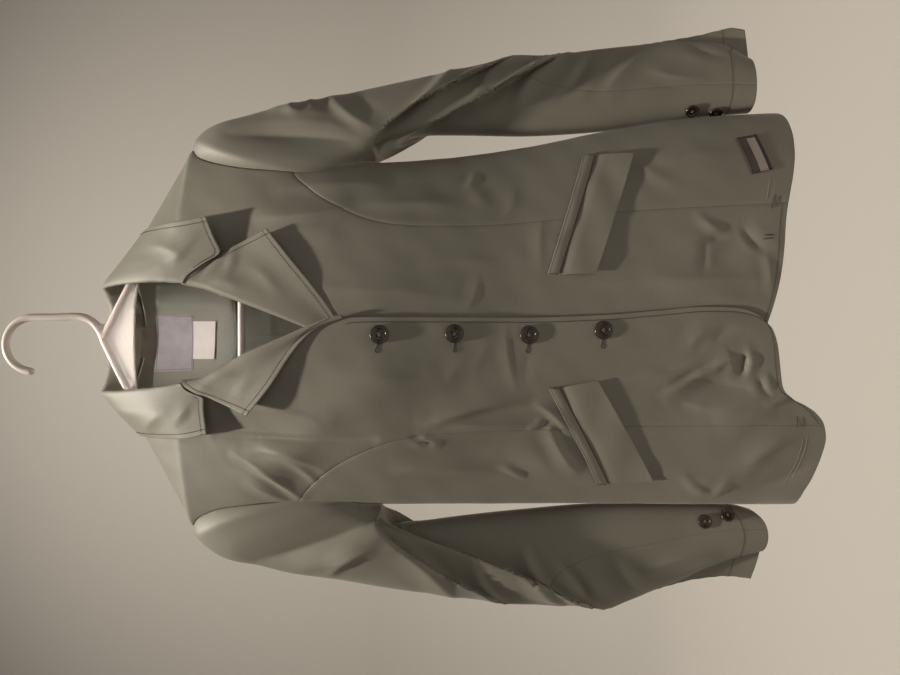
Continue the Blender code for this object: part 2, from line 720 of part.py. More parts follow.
def sleeve_point(side, ring, turn):
    """Point of a sleeve's outer surface."""
    ring, turn = np.broadcast_arrays(np.asarray(ring, float), np.asarray(turn, float))
    table = RINGS[side]
    turn = turn % 1.0
    read = {name: table.read(name, ring) for name in RING_COLUMNS.split()[1:]}
    lap = SEAMS.read("lap", ring)
    is_front = turn <= 0.5
    share = (1 - np.cos(turn * 2 * math.pi)) / 2
    outer = np.stack([read["outer_x"], -read["outer_down"]], -1)
    inner = np.stack([read["inner_x"], -read["inner_down"]], -1)
    bend = np.stack([read["mid_x"], -read["mid_down"]], -1)
    straight = (outer + inner) / 2
    held = ease(1 - ring / 9)[..., None]
    middle = np.where(is_front[..., None], bend, mix(straight, bend, held))
    handle = 2 * middle - straight
    c = share[..., None]
    place = (1 - c) ** 2 * outer + 2 * c * (1 - c) * handle + c * c * inner
    front, back = smooth_depths(table, ring, read["outer_down"])
    centre = (front + back) / 2 * ease(ring / 3)
    front = mix(front, read["front"], ease(share / FOLD_FADE))
    cover = np.clip((share - lap) / (1 - lap), 0, 1)
    fullness = (1 - np.abs(2 * cover - 1) ** 2.4) ** (1 / 2.4)
    back_fullness = (1 - np.abs(2 * share - 1) ** 2.4) ** (1 / 2.4)
    y = np.where(is_front, mix(centre, front, fullness), mix(centre, read["back"], back_fullness))
    points = np.stack([place[..., 0], y, place[..., 1]], axis=-1)
    start = armhole_point(side, turn) + np.array([SIDE[side] * ARMHOLE_GAP, 0, 0])
    return mix(start, points, ease(ring)[..., None])


def sleeve_seam(side, rings, seam, gap):
    """Turn of a sleeve seam at each ring, moved off the seam by a distance in millimetres."""
    turn = SEAMS.read(seam, rings)
    step = 0.002
    around_it = (sleeve_point(side, rings, turn + step) - sleeve_point(side, rings, turn - step)) / (2 * step)
    line = unit(np.gradient(sleeve_point(side, rings, turn), axis=0))
    across = np.linalg.norm(np.cross(line, around_it), axis=-1)
    reach = np.linalg.norm(around_it, axis=-1)
    return turn + gap / np.maximum(across, 0.3 * reach)


def sleeves(material):
    """Upper and under sleeve of each side."""
    rings = np.concatenate([[0, 0.5], np.arange(1, LAST_RING + 1)])
    half_gap = SLEEVE_SEAM_GAP / 2
    for side, sign in SIDE.items():
        edges = {
            "upper": (sleeve_seam(side, rings, "under_end", half_gap) - 1,
                      sleeve_seam(side, rings, "under_start", -half_gap), 12),
            "under": (sleeve_seam(side, rings, "under_start", half_gap),
                      sleeve_seam(side, rings, "under_end", -half_gap), 10),
        }
        for piece, (start, end, columns) in edges.items():
            turn = mix(start[:, None], end[:, None], np.linspace(0, 1, columns)[None])
            ring = np.broadcast_to(rings[:, None], turn.shape)
            outer = sleeve_point(side, ring, turn)
            across = sleeve_point(side, ring, turn + 0.01) - sleeve_point(side, ring, turn - 0.01)
            near, far = np.clip(ring - 0.15, 0, LAST_RING), np.clip(ring + 0.15, 0, LAST_RING)
            along = sleeve_point(side, far, turn) - sleeve_point(side, near, turn)
            out = unit(np.cross(across, along)) * sign
            cloth_object(f"sleeve_{side}_{piece}", outer, outer - out * WALL, material)


def panel_patch(name, corners, lift, wall, counts, material, side="left", face=around):
    """A small piece on the body between four corners, given as x and down."""
    columns, rows = counts
    a, b = np.linspace(0, 1, columns)[None, :, None], np.linspace(0, 1, rows)[:, None, None]
    top_left, top_right, low_left, low_right = (np.array(corner, float) for corner in corners)
    place = mix(mix(top_left, top_right, a), mix(low_left, low_right, a), b)
    s = face(place[..., 0], place[..., 1])
    height = lift(b[..., 0]) if callable(lift) else lift
    height = height + front_lift(side, s, place[..., 1])
    outer = body_point(s, place[..., 1], height)
    inner = body_point(s, place[..., 1], height - wall)
    return cloth_object(name, outer, inner, material)


def pockets(material):
    """Welt and flap of each hip pocket."""
    for side, pocket in POCKETS.items():
        inner, outer = np.array(pocket["inner"]), np.array(pocket["outer"])
        down = np.array([0, WELT_HEIGHT])
        panel_patch(f"pocket_welt_{side}", (inner, outer, inner + down, outer + down),
                    WELT_WALL + SEAM_GAP, WELT_WALL, (10, 3), material, side)
        hang = np.array([0, FLAP_START])
        panel_patch(f"pocket_flap_{side}",
                    (inner + hang, outer + hang, np.array(pocket["flap_inner"]), np.array(pocket["flap_outer"])),
                    lambda b: FLAP_LIFT + FLAP_FLARE * b, WALL, (10, 5), material, side)


def button(name, centre, outward, radius, thickness, material):
    """A round button with a raised rim and a dished face."""
    profile = [(0.0, 0.5), (0.62, 0.55), (0.82, 1.0), (0.97, 0.8), (1.0, 0.4), (0.8, 0.0), (0.0, 0.0)]
    mesh = bpy.data.meshes.new(name)
    shape = bmesh.new()
    points = [shape.verts.new((x * radius * MM, 0, z * thickness * MM)) for x, z in profile]
    edges = [shape.edges.new(pair) for pair in zip(points, points[1:])]
    bmesh.ops.spin(shape, geom=points + edges, cent=(0, 0, 0), axis=(0, 0, 1), angle=2 * math.pi, steps=14,
                   use_merge=True)
    bmesh.ops.remove_doubles(shape, verts=shape.verts, dist=1e-6)
    bmesh.ops.recalc_face_normals(shape, faces=shape.faces)
    shape.to_mesh(mesh)
    shape.free()
    mesh.shade_smooth()
    mesh.set_sharp_from_angle(angle=math.radians(40))
    thing = add_object(name, mesh, material)
    thing.location = centre * MM
    thing.rotation_euler = Vector(outward).to_track_quat("Z", "Y").to_euler()


def buttons(material):
    """Front and cuff buttons."""
    for row in FRONT_BUTTONS.rows():
        x, down = np.meshgrid(row["x"] + np.linspace(-8, 8, 9), row["down"] + np.linspace(-8, 8, 9))
        s = around(x, down)
        cloth = body_point(s, down, front_lift("right", s, down)).reshape(-1, 3)
        seat_button(f"button_front_{int(row['number'])}", cloth, row["x"], row["down"],
                    BUTTON_RADIUS, BUTTON_THICKNESS, material)
    ring, turn = np.meshgrid(np.linspace(19, LAST_RING, 60), np.linspace(0.02, 0.49, 80), indexing="ij")
    for side, places in CUFF_BUTTONS.items():
        cloth = sleeve_point(side, ring, turn).reshape(-1, 3)
        for number, (x, down) in enumerate(places, 1):
            seat_button(f"button_cuff_{side}_{number}", cloth, x, down,
                        CUFF_BUTTON_RADIUS, CUFF_BUTTON_THICKNESS, material)


def seat_button(name, cloth, x, down, radius, thickness, material):
    """Rest a button flat on the cloth's points under it."""
    under = cloth[np.hypot(cloth[:, 0] - x, cloth[:, 2] + down) < radius]
    middle = under.mean(axis=0)
    outward = np.linalg.svd(under - middle)[2][2]
    outward = outward * -np.sign(outward[1])
    rise = np.max((under - middle) @ outward) + SEAM_GAP
    centre = np.array([x, middle[1], -down])
    centre[1] -= ((centre - middle) @ outward) / outward[1]
    centre = centre + outward * rise
    button(name, centre, outward, radius, thickness, material)


def labels(material):
    """Bare labels: inside the neck, and at the hem of the left side."""
    inside = -WALL - FACING_GAP - FACING_WALL - LABEL_GAP
    panel_patch("neck_label", ((-31, 134), (33, 134), (-29, 171), (32, 171)), inside, LABEL_WALL, (9, 5),
                material, face=behind)
    panel_patch("care_label", ((-17, 172), (25, 172), (-17, 193), (25, 194)), inside - 0.2, 0.6, (6, 4),
                material, face=behind)
    panel_patch("hem_label", ((158, 728), (195, 718), (163, 748), (199, 738)), LABEL_WALL + SEAM_GAP, LABEL_WALL,
                (7, 5), material)
    panel_patch("hanging_loop", ((-16, 124), (19, 124), (-17, 132), (20, 132)), inside, LABEL_WALL, (7, 3),
                material, face=behind)


def tube_object(name, path, radius, sides=8, round_start=False):
    """A closed rod along a path in the hanger's plane."""
    path = np.array(path, float)
    tangent = unit(np.gradient(path, axis=0))
    flat = np.cross(tangent, np.array([0.0, 1.0, 0.0]))
    depth = np.broadcast_to(np.array([0.0, 1.0, 0.0]), path.shape)
    scale = np.ones(len(path))
    if round_start:
        cap = np.array([0.35, 0.75, 0.95])
        lead = path[0] - tangent[0] * radius * np.sqrt(1 - cap[:, None] ** 2)
        path = np.concatenate([lead, path])
        flat = np.concatenate([np.repeat(flat[:1], 3, 0), flat])
        depth = np.broadcast_to(np.array([0.0, 1.0, 0.0]), path.shape)
        scale = np.concatenate([cap, scale])
    angle = np.linspace(0, 2 * math.pi, sides, endpoint=False)
    ring = np.cos(angle)[None, :, None] * flat[:, None] + np.sin(angle)[None, :, None] * depth[:, None]
    points = path[:, None] + ring * radius * scale[:, None, None]
    count = len(path)
    faces = [[r * sides + c, r * sides + (c + 1) % sides, (r + 1) * sides + (c + 1) % sides, (r + 1) * sides + c]
             for r in range(count - 1) for c in range(sides)]
    faces.append(list(range(sides))[::-1])
    faces.append([(count - 1) * sides + c for c in range(sides)])
    mesh = bpy.data.meshes.new(name)
    mesh.from_pydata((points.reshape(-1, 3) * MM).tolist(), [], faces)
    thing = bpy.data.objects.new(name, mesh)
    bpy.context.scene.collection.objects.link(thing)
    fix = bmesh.new()
    fix.from_mesh(mesh)
    bmesh.ops.recalc_face_normals(fix, faces=fix.faces)
    fix.to_mesh(mesh)
    fix.free()
    return thing


def plate_object(name, outline, thickness):
    """A flat plate in the hanger's plane."""
    mesh = bpy.data.meshes.new(name)
    shape = bmesh.new()
    face = shape.faces.new([shape.verts.new((x * MM, -thickness / 2 * MM, -down * MM)) for x, down in outline])
    extruded = bmesh.ops.extrude_face_region(shape, geom=[face])
    moved = [part for part in extruded["geom"] if isinstance(part, bmesh.types.BMVert)]
    bmesh.ops.translate(shape, verts=moved, vec=(0, thickness * MM, 0))
    bmesh.ops.recalc_face_normals(shape, faces=shape.faces)
    shape.to_mesh(mesh)
    shape.free()
    thing = bpy.data.objects.new(name, mesh)
    bpy.context.scene.collection.objects.link(thing)
    return thing


# One arm of the hanger, outwards from its middle.
ARM = Table("reach down", [(0, 95), (54, 122), (98, 148.5), (145, 172.8), (180, 191.6), (196, 204)])


def arm_path(sign, start, count):
    """Arm, rounded end and half of the bar on one side, as x and down."""
    reach = np.linspace(start, 196, count)
    arm = [(HANGER_CENTRE + sign * r, float(ARM.read("down", r))) for r in reach]
    end_x, end_down = HANGER_END
    bend = [(HANGER_CENTRE + sign * (end_x + HANGER_END_RADIUS * math.cos(angle)),
             end_down + HANGER_END_RADIUS * math.sin(angle))
            for angle in np.radians([-42, -18, 6, 30, 54, 76, 90])]
    return arm + bend


def hanger(material):
    """Moulded hanger: hook, arms, bar and web in one piece."""
    arc_centre = -(HOOK_RADIUS - ROD_RADIUS)
    hook = [(HOOK_RADIUS * math.cos(angle), arc_centre + HOOK_RADIUS * math.sin(angle))
            for angle in np.radians(np.linspace(184, 0, 15))]
    neck = [(27.6, -40), (28, -55), (28.4, -66), (28, -73), (25.5, -80.5), (21, -86.5), (15, -91), (6, -95.6)]
    hook_path = [(x, 0, z) for x, z in hook + neck]
    right_side = [(x, 0, -down) for x, down in arm_path(-1, 12, 12)]
    bar = [(HANGER_CENTRE + x, 0, -HANGER_BAR) for x in (-170, -110, -50, 10, 70, 130, 182)]
    whole = tube_object("hanger", hook_path + right_side + bar, ROD_RADIUS, round_start=True)
    left_side = [(x, 0, -down) for x, down in arm_path(1, 3, 12)] + [(HANGER_CENTRE + 176, 0, -HANGER_BAR)]
    other = tube_object("left_arm", left_side, ROD_RADIUS + 0.06)
    web = plate_object("web", [(8, 96), (62, 126), (66, 131), (45, 127.5), (5, 126), (-33, 127.5), (-54, 130.5),
                               (-50, 122)], WEB_THICKNESS)
    gusset = plate_object("gusset", [(6, 98), (20.5, 88), (22, 104)], WEB_THICKNESS * 0.9)
    for piece in (other, web, gusset):
        piece.hide_render = True
        piece.display_type = "WIRE"
        union = whole.modifiers.new(piece.name, "BOOLEAN")
        union.operation = "UNION"
        union.object = piece
    whole.data.materials.append(material)


def main():
    """Build the jacket and its hanger."""
    remove_everything()
    cloth = paint("jacket_cloth", CLOTH, 0.75)
    plastic = paint("hanger_plastic", PLASTIC, 0.35)
    resin = paint("button_resin", RESIN, 0.2)
    tape = paint("label_tape", TAPE, 0.7)
    hanger(plastic)
    front_panels(cloth)
    back_panels(cloth)
    back_facing(cloth)
    lapels(cloth)
    collar(cloth)
    sleeves(cloth)
    pockets(cloth)
    buttons(resin)
    labels(tape)


main()
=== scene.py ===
# %% [markdown]
# # A show jacket on its hanger
#
# A riding jacket is cut from about twenty pieces of stretch cloth. The measured model
# of them comes in as a frame that is never moved. Here each piece is sewn again as a
# thin shell on the form of its solid, with the creases, rolled edges and stitches that
# are too fine for the solids. All the places below are in millimetres: x to the
# wearer's left, y to the back, and "down" below the hook that the jacket hangs from.

# %% Load the frame
import json
import math

import bpy
import numpy as np
from mathutils import Matrix, Vector

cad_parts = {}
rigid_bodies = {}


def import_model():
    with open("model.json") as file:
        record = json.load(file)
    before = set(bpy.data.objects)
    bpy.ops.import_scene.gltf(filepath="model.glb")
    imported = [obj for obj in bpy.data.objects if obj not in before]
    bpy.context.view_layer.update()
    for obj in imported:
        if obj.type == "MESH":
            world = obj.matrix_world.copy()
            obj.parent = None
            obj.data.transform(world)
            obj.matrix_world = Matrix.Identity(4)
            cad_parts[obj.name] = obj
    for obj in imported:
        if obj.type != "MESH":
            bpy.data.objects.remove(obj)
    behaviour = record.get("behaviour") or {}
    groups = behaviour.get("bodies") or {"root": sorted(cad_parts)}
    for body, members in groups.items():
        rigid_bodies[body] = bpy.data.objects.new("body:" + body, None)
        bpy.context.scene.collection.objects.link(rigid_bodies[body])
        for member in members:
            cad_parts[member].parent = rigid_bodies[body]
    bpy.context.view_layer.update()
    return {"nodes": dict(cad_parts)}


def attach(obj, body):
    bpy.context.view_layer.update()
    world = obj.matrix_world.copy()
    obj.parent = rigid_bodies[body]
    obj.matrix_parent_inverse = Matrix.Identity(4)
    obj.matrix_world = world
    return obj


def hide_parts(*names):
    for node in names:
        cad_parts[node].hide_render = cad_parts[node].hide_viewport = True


for thing in list(bpy.data.objects):
    bpy.data.objects.remove(thing, do_unlink=True)
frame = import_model()
print("nodes in the frame:", len(frame["nodes"]))

# %% [markdown]
# ## Reading sizes from short tables
#
# A garment's outline is easiest to keep as a few measured rows, as a tailor's chart
# does. A spline in Blender could hold them too, but a small table with named columns
# can be read at any height. It is read with a monotone curve, which never overshoots.

# %% Tables and small helpers
# General sizes
MM = 0.001
WALL = 1.4
FINE = 80
SIDE = {"right": -1.0, "left": 1.0}
SEAM_GAP = -0.3


class Table:
    """A short table with named columns, read smoothly between its rows."""

    def __init__(self, names, rows):
        self.names = names.split()
        self.columns = {name: np.array(column, float) for name, column in zip(self.names, zip(*rows))}

    def read(self, name, at):
        """Value of a column where the first column is `at`."""
        knots = self.columns[self.names[0]]
        values = self.columns[name]
        at = np.clip(np.asarray(at, float), knots[0], knots[-1])
        step = np.diff(knots)
        slope = np.diff(values) / step
        tangent = np.concatenate(([slope[0]], np.zeros(len(knots) - 2), [slope[-1]]))
        same = np.flatnonzero(slope[:-1] * slope[1:] > 0)
        before, after = slope[same], slope[same + 1]
        tangent[same + 1] = 2 * before * after / (before + after)
        row = np.clip(np.searchsorted(knots, at, side="right") - 1, 0, len(step) - 1)
        t = (at - knots[row]) / step[row]
        start, end = values[row], values[row + 1]
        return (start * (1 + 2 * t) * (1 - t) ** 2 + end * t * t * (3 - 2 * t)
                + step[row] * t * (1 - t) * (tangent[row] * (1 - t) - tangent[row + 1] * t))

    def rows(self):
        """The rows as dictionaries."""
        return [dict(zip(self.names, row)) for row in zip(*self.columns.values())]


def mix(start, end, share):
    """Value between two others."""
    return start + (end - start) * share


def ease(share):
    """Smooth step from 0 to 1."""
    share = np.clip(share, 0.0, 1.0)
    return share * share * (3 - 2 * share)


def unit(vectors):
    """Vectors brought to length 1."""
    return vectors / np.maximum(np.linalg.norm(vectors, axis=-1, keepdims=True), 1e-9)

# %% [markdown]
# ## The form of the body
#
# The jacket hangs nearly flat, about 130 mm deep, and each level is a rounded
# rectangle. One function gives the point at any place round the body, so pieces that
# meet at a seam share the same points. Soft folds are ridges between two places.

# %% Body sections and its soft folds
# Width to each side, depth to the front and back, and roundness of the body.
BODY = Table("down right left front back power", [
    (99, -22, 48, 26, 26, 1.35),
    (112, -46, 70, 33, 33, 1.35),
    (138, -93, 114, 42, 40, 1.35),
    (180, -171.3, 186, 49, 48, 1.45),
    (187, -185, 198, 50, 49, 1.5),
    (215, -184, 200, 54, 52, 1.75),
    (250, -179, 198, 59, 55, 2.1),
    (300, -169, 190, 66, 58, 2.5),
    (345, -161.5, 184, 70, 59, 2.7),
    (378, -159.5, 182, 71, 58, 2.7),
    (425, -159.5, 184.5, 69, 54, 2.7),
    (525, -159.5, 198, 63, 47, 2.7),
    (611, -159.5, 215, 64, 51, 2.7),
    (702, -160, 228, 67, 57, 2.7),
    (780, -160, 231, 69, 60, 2.7),
    (830, -159, 230, 69, 60, 2.7),
])
# Soft folds of the body: a ridge or trough from one point to another.
FOLDS = Table("face x0 down0 x1 down1 width rise", [
    (1, -140, 250, -75, 335, 16, 3.0),
    (1, -60, 330, -20, 420, 22, 2.0),
    (1, 130, 240, 108, 330, 18, 2.5),
    (1, -95, 500, -120, 580, 14, 3.0),
    (1, -50, 650, -35, 715, 14, -3.0),
    (1, -72, 690, -60, 750, 14, 4.0),
    (1, -150, 660, -112, 742, 16, 3.0),
    (1, 75, 690, 110, 720, 16, -2.5),
    (1, 60, 640, 45, 720, 14, 2.0),
    (1, 160, 640, 175, 740, 18, 2.0),
    (-1, -110, 240, -60, 360, 20, 3.0),
    (-1, 120, 250, 90, 370, 20, 3.0),
    (-1, -60, 470, -110, 560, 16, -3.0),
    (-1, 70, 480, 130, 570, 16, -3.0),
    (-1, -80, 640, -60, 770, 22, 4.0),
    (-1, 110, 640, 120, 765, 22, 4.0),
    (-1, 10, 620, 30, 775, 18, -2.5),
])

# %% [markdown]
# ## The body as one surface
#
# Each point of the body is reached by how far round its section it lies, and how far
# down. All panels read this one surface, so that their edges meet along the seams.

# %% Points of the body
def plain_body(s, down):
    """Point of the body: s is 0 in front, -1 and 1 at the sides and -2 or -3..2 behind."""
    s, down = np.broadcast_arrays(np.asarray(s, float), np.asarray(down, float))
    right, left = BODY.read("right", down), BODY.read("left", down)
    power = BODY.read("power", down)
    sine, cosine = np.sin(s * math.pi / 2), np.cos(s * math.pi / 2)
    reach = (np.abs(sine) ** power + np.abs(cosine) ** power) ** (-1 / power)
    depth = np.where(cosine > 0, BODY.read("front", down), BODY.read("back", down))
    x = (right + left) / 2 + (left - right) / 2 * reach * sine
    return np.stack([x, -depth * reach * cosine, -down], axis=-1)


def around(x, down):
    """The value s of the front's point at x."""
    right, left = BODY.read("right", down), BODY.read("left", down)
    power = BODY.read("power", down)
    across = np.clip((x - (right + left) / 2) / ((left - right) / 2), -1, 1)
    rest = (1 - np.abs(across) ** power) ** (1 / power)
    return np.arctan2(across, rest) * 2 / math.pi


def behind(x, down):
    """The value s of the back's point at x, from -1 at the right side to -3 at the left."""
    return -2 - around(x, down)


def fold_rise(points, facing):
    """How far the folds lift the cloth at these points."""
    rise = np.zeros(points.shape[:-1])
    for fold in FOLDS.rows():
        start = np.array([fold["x0"], -fold["down0"]])
        line = np.array([fold["x1"], -fold["down1"]]) - start
        away = points[..., [0, 2]] - start
        share = np.clip(away @ line / (line @ line), 0, 1)
        distance = np.linalg.norm(away - share[..., None] * line, axis=-1)
        taper = 0.35 + 0.65 * np.sin(math.pi * share)
        lift = fold["rise"] * taper * np.exp(-(distance / fold["width"]) ** 2)
        rise = rise + np.where(facing * fold["face"] > 0, lift * np.minimum(1, np.abs(facing) * 2), 0)
    return rise


def normals(surface, s, down):
    """Outward directions of a surface of s and down."""
    turn = surface(s + 0.02, down) - surface(s - 0.02, down)
    drop = surface(s, down + 2.0) - surface(s, down - 2.0)
    return unit(np.cross(drop, turn))


def folded_body(s, down):
    """The body with its folds."""
    s, down = np.broadcast_arrays(np.asarray(s, float), np.asarray(down, float))
    points = plain_body(s, down)
    facing = np.cos(s * math.pi / 2)
    return points + normals(plain_body, s, down) * fold_rise(points, facing)[..., None]


def body_point(s, down, lift=0.0):
    """A point that lies `lift` outside the body's cloth."""
    s, down, lift = np.broadcast_arrays(np.asarray(s, float), np.asarray(down, float), np.asarray(lift, float))
    return folded_body(s, down) + normals(folded_body, s, down) * lift[..., None]


print("chest depth, mm:", round(float(np.ptp(plain_body(np.array([0.0, 2.0]), 345)[:, 1])), 1))

# %% [markdown]
# ## Creases
#
# Stretch cloth that was folded in a drawer keeps small creases: a ridge with a shallow
# trough on both sides, steeper on one of them. Cloth simulation gives folds, but not
# these ones in these places, so each one is listed, with its own length, depth
# and lean.

# %% Creases of the front
CREASE_COLUMNS = "x0 down0 x1 down1 bow width lean rise"
FRONT_CREASES = Table(CREASE_COLUMNS, [
    (-106, 246, -146, 304, 4, 7, 0.3, 4.7),
    (-83, 228, -86, 376, -2, 5, -0.5, -4.0),
    (-100, 262, -118, 330, 6, 8, 0.2, 2.9),
    (-134, 258, -148, 288, 0, 6, 0, 2.2),
    (-112, 300, -130, 322, 2, 5, 0.2, 2.3),
    (-60, 250, -72, 330, 5, 10, 0, 2.2),
    (-93, 416, -87, 428, 1, 3.2, 0, 2.7),
    (-85, 414, -92, 430, -1, 3.0, 0.2, -2.3),
    (-96, 432, -88, 436, 0, 3.0, 0, 2.0),
    (-117, 400, -119, 484, 2, 7, 0.3, 2.7),
    (-116, 496, -125, 517, 1, 3.4, 0.3, 2.9),
    (-74, 430, -53, 512, 3, 9, 0.55, 4.3),
    (-72, 440, -74, 520, -2, 8, 0.1, 2.7),
    (-79, 521, -73, 526, -1, 2.6, 0, 2.3),
    (-79, 528, -70, 534, 1, 2.8, 0.2, 2.7),
    (-77, 534, -72, 541, 0, 2.6, 0, -2.0),
    (-77, 541, -118, 567, -3, 6, -0.3, 3.8),
    (-56, 530, -78, 556, 2, 5, 0.2, 2.5),
    (-38, 508, 17, 500, 2, 4.5, 0.4, 0.9),
    (-36, 517, -8, 521, 1, 6, 0, -0.6),
    (-20, 470, 2, 482, -2, 8, 0.2, 0.7),
    (-34, 446, -14, 462, 2, 9, 0, 0.8),
    (36, 465, 61, 474, -2, 5, 0.3, 0.9),
    (75, 430, 78, 490, 1, 8, 0.2, 1.0),
    (71, 533, 118, 534, 2, 6, 0.2, 0.7),
    (130, 376, 132, 446, 1, 9, 0.3, 2.4),
    (150, 466, 163, 472, -1, 4, 0, 1.6),
    (128, 486, 150, 470, 2, 7, 0, 0.8),
    (120, 500, 148, 508, -3, 8, 0.2, 0.8),
    (-44, 648, -21, 688, 1, 6, -0.55, 3.6),
    (-36, 656, -20, 690, 2, 4, 0.3, -2.6),
    (-30, 606, -22, 690, 0, 4, -0.5, 1.5),
    (-33, 668, -42, 728, 2, 9, -0.3, -3.0),
    (-52, 664, -58, 706, -3, 9, 0.3, 2.2),
    (-22, 690, -12, 712, 2, 5, 0.4, 2.6),
    (-29, 715, -6, 716, -2, 4.5, 0.4, -3.6),
    (-26, 723, -4, 722, -2, 6, 0.2, 2.2),
    (-4, 704, -24, 713, 1, 4, 0.3, -1.8),
    (-2, 668, 14, 688, 3, 7, 0.3, 1.8),
    (4, 690, 14, 704, 1, 5, 0, -1.2),
    (-60, 700, -50, 748, 2, 8, 0.3, 2.6),
    (-46, 741, -30, 731, 1, 3.6, 0.4, -2.2),
    (-40, 744, -26, 738, 1, 3.4, 0.2, 1.7),
    (-56, 742, -48, 768, 2, 5, 0.5, 3.0),
    (-125, 642, -126, 690, 2, 7, 0.3, 2.2),
    (-142, 694, -124, 670, 2, 4.5, 0.2, 2.5),
    (-146, 700, -128, 710, -1, 5, 0, 2.2),
    (-114, 726, -88, 764, 4, 11, 0.2, 4.0),
    (-140, 730, -110, 786, -5, 12, 0, -2.9),
    (67, 681, 96, 684, -1, 5, 0.3, -1.1),
    (94, 684, 101, 708, 2, 5, 0.2, -2.3),
    (101, 707, 119, 678, 2, 5, 0, 2.2),
    (108, 718, 88, 736, -2, 5.5, 0.3, -2.7),
    (84, 738, 52, 742, 1, 5, 0, 1.6),
    (56, 588, 60, 740, 2, 10, 0.4, 2.0),
    (30, 700, 24, 738, 2, 7, 0, -1.8),
    (168, 640, 182, 700, 3, 9, 0.2, 2.3),
    (176, 620, 150, 656, -2, 7, 0, 1.6),
    (120, 276, 128, 346, -3, 9, 0.4, 2.7),
    (146, 290, 152, 380, 2, 9, 0.2, 2.0),
    (52, 300, 40, 470, 4, 22, 0, 2.4),
    (-30, 350, -36, 440, 3, 14, 0, 1.4),
])

# %% [markdown]
# ## Creases of the back
#
# The back faces away from the camera, so its creases are a guess. It gets fewer than
# the front, since it has no buttons and no pockets that pull on the cloth.

# %% Creases of the back
BACK_CREASES = Table(CREASE_COLUMNS, [
    (-120, 240, -78, 330, 6, 9, 0.3, 3.6),
    (128, 250, 92, 344, -6, 9, -0.2, 3.8),
    (-60, 300, -48, 400, 4, 12, 0.2, 2.5),
    (52, 320, 60, 410, -3, 11, 0, 2.3),
    (-104, 420, -70, 452, 2, 6, 0.4, 2.9),
    (-96, 452, -60, 470, -2, 6, 0.2, -2.5),
    (88, 430, 122, 462, 3, 6, 0.2, 2.7),
    (70, 470, 100, 478, 1, 5, 0, 2.0),
    (-30, 500, 8, 512, 2, 8, 0.2, 2.0),
    (-120, 520, -100, 590, 3, 8, 0.3, 2.7),
    (140, 520, 126, 602, -3, 9, 0.2, 2.5),
    (-64, 640, -82, 716, 4, 9, 0.4, 3.4),
    (60, 650, 84, 700, -3, 8, 0.2, -2.9),
    (-20, 700, -34, 760, 2, 9, 0.2, 2.7),
    (100, 700, 120, 750, 2, 8, 0, 2.3),
    (-132, 690, -114, 740, -2, 7, 0.2, -2.3),
])

# %% [markdown]
# ## How a crease rises
#
# A crease is a narrow ridge with a shallow trough beside it. It bows along its length
# and fades at both ends. A bump texture could draw it, but only moved points change the
# outline and the way the light falls across a whole panel.

# %% Rise of the creases
def crease_rise(points, creases):
    """How far a table's creases lift the cloth at these points."""
    rise = np.zeros(points.shape[:-1])
    for crease in creases.rows():
        start = np.array([crease["x0"], -crease["down0"]])
        line = np.array([crease["x1"], -crease["down1"]]) - start
        length = np.hypot(*line)
        along = line / length
        away = points[..., [0, 2]] - start
        share = np.clip(away @ along / length, 0, 1)
        beyond = away @ along - share * length
        side = away @ np.array([-along[1], along[0]]) - crease["bow"] * 4 * share * (1 - share)
        width = crease["width"] * (1 + crease["lean"] * np.sign(side))
        reach = np.hypot(side / width, beyond / crease["width"])
        crest = np.exp(-1.7 * reach ** 1.25) - 0.16 * np.exp(-((reach - 1.7) / 0.6) ** 2)
        rise = rise + crease["rise"] * np.sin(math.pi * (0.1 + 0.8 * share)) * crest
    return rise


SLACK = Table("across up phase rise", [(31, 90, 0.3, 0.07), (54, -41, 1.9, 0.09), (-23, 66, 4.2, 0.05),
                                       (95, 137, 2.7, 0.16)])


def slack_rise(points):
    """The slight unevenness of loosely hung cloth, as a few slanted waves of set lengths."""
    x, z = points[..., 0], points[..., 2]
    return sum(wave["rise"] * np.sin(x / wave["across"] * 2 * math.pi + z / wave["up"] * 2 * math.pi + wave["phase"])
               for wave in SLACK.rows())


def worn(s, down, lift=0.0):
    """A point of the worn body, with its creases."""
    s, down, lift = np.broadcast_arrays(np.asarray(s, float), np.asarray(down, float), np.asarray(lift, float))
    points = body_point(s, down, lift)
    facing = np.cos(s * math.pi / 2)
    rise = np.where(facing > 0, crease_rise(points, FRONT_CREASES), crease_rise(points, BACK_CREASES))
    rise = (rise + slack_rise(points)) * ease(np.abs(facing) * 3)
    return points + normals(folded_body, s, down) * rise[..., None]


print("creases:", len(FRONT_CREASES.rows()) + len(BACK_CREASES.rows()))

# %% [markdown]
# ## Materials
#
# Each finish starts from what the real one is. Colours are written as sRGB hex values,
# as on a paint chart, and one function turns them to the linear light that the shader
# works in. One more function adds a node with its settings and links.

# %% Two helpers for materials
def linear(code):
    """An sRGB hex value as linear red, green, blue and alpha."""
    parts = [int(code[i:i + 2], 16) / 255 for i in (1, 3, 5)]
    return [p / 12.92 if p <= 0.04045 else ((p + 0.055) / 1.055) ** 2.4 for p in parts] + [1.0]


def add_node(material, kind, inputs=None, **settings):
    """A new node of a material, with its settings, and its inputs linked or set."""
    made = material.node_tree.nodes.new(kind)
    for name, value in settings.items():
        setattr(made, name, value)
    for name, value in (inputs or {}).items():
        if isinstance(value, bpy.types.NodeSocket):
            material.node_tree.links.new(value, made.inputs[name])
        else:
            made.inputs[name].default_value = value
    return made.outputs


def new_material(name, **values):
    """A material, its shader and the shader's own values."""
    material = bpy.data.materials.new(name)
    material.use_nodes = True
    shader = material.node_tree.nodes["Principled BSDF"]
    for socket, value in values.items():
        shader.inputs[socket.replace("_", " ")].default_value = value
    return material, shader


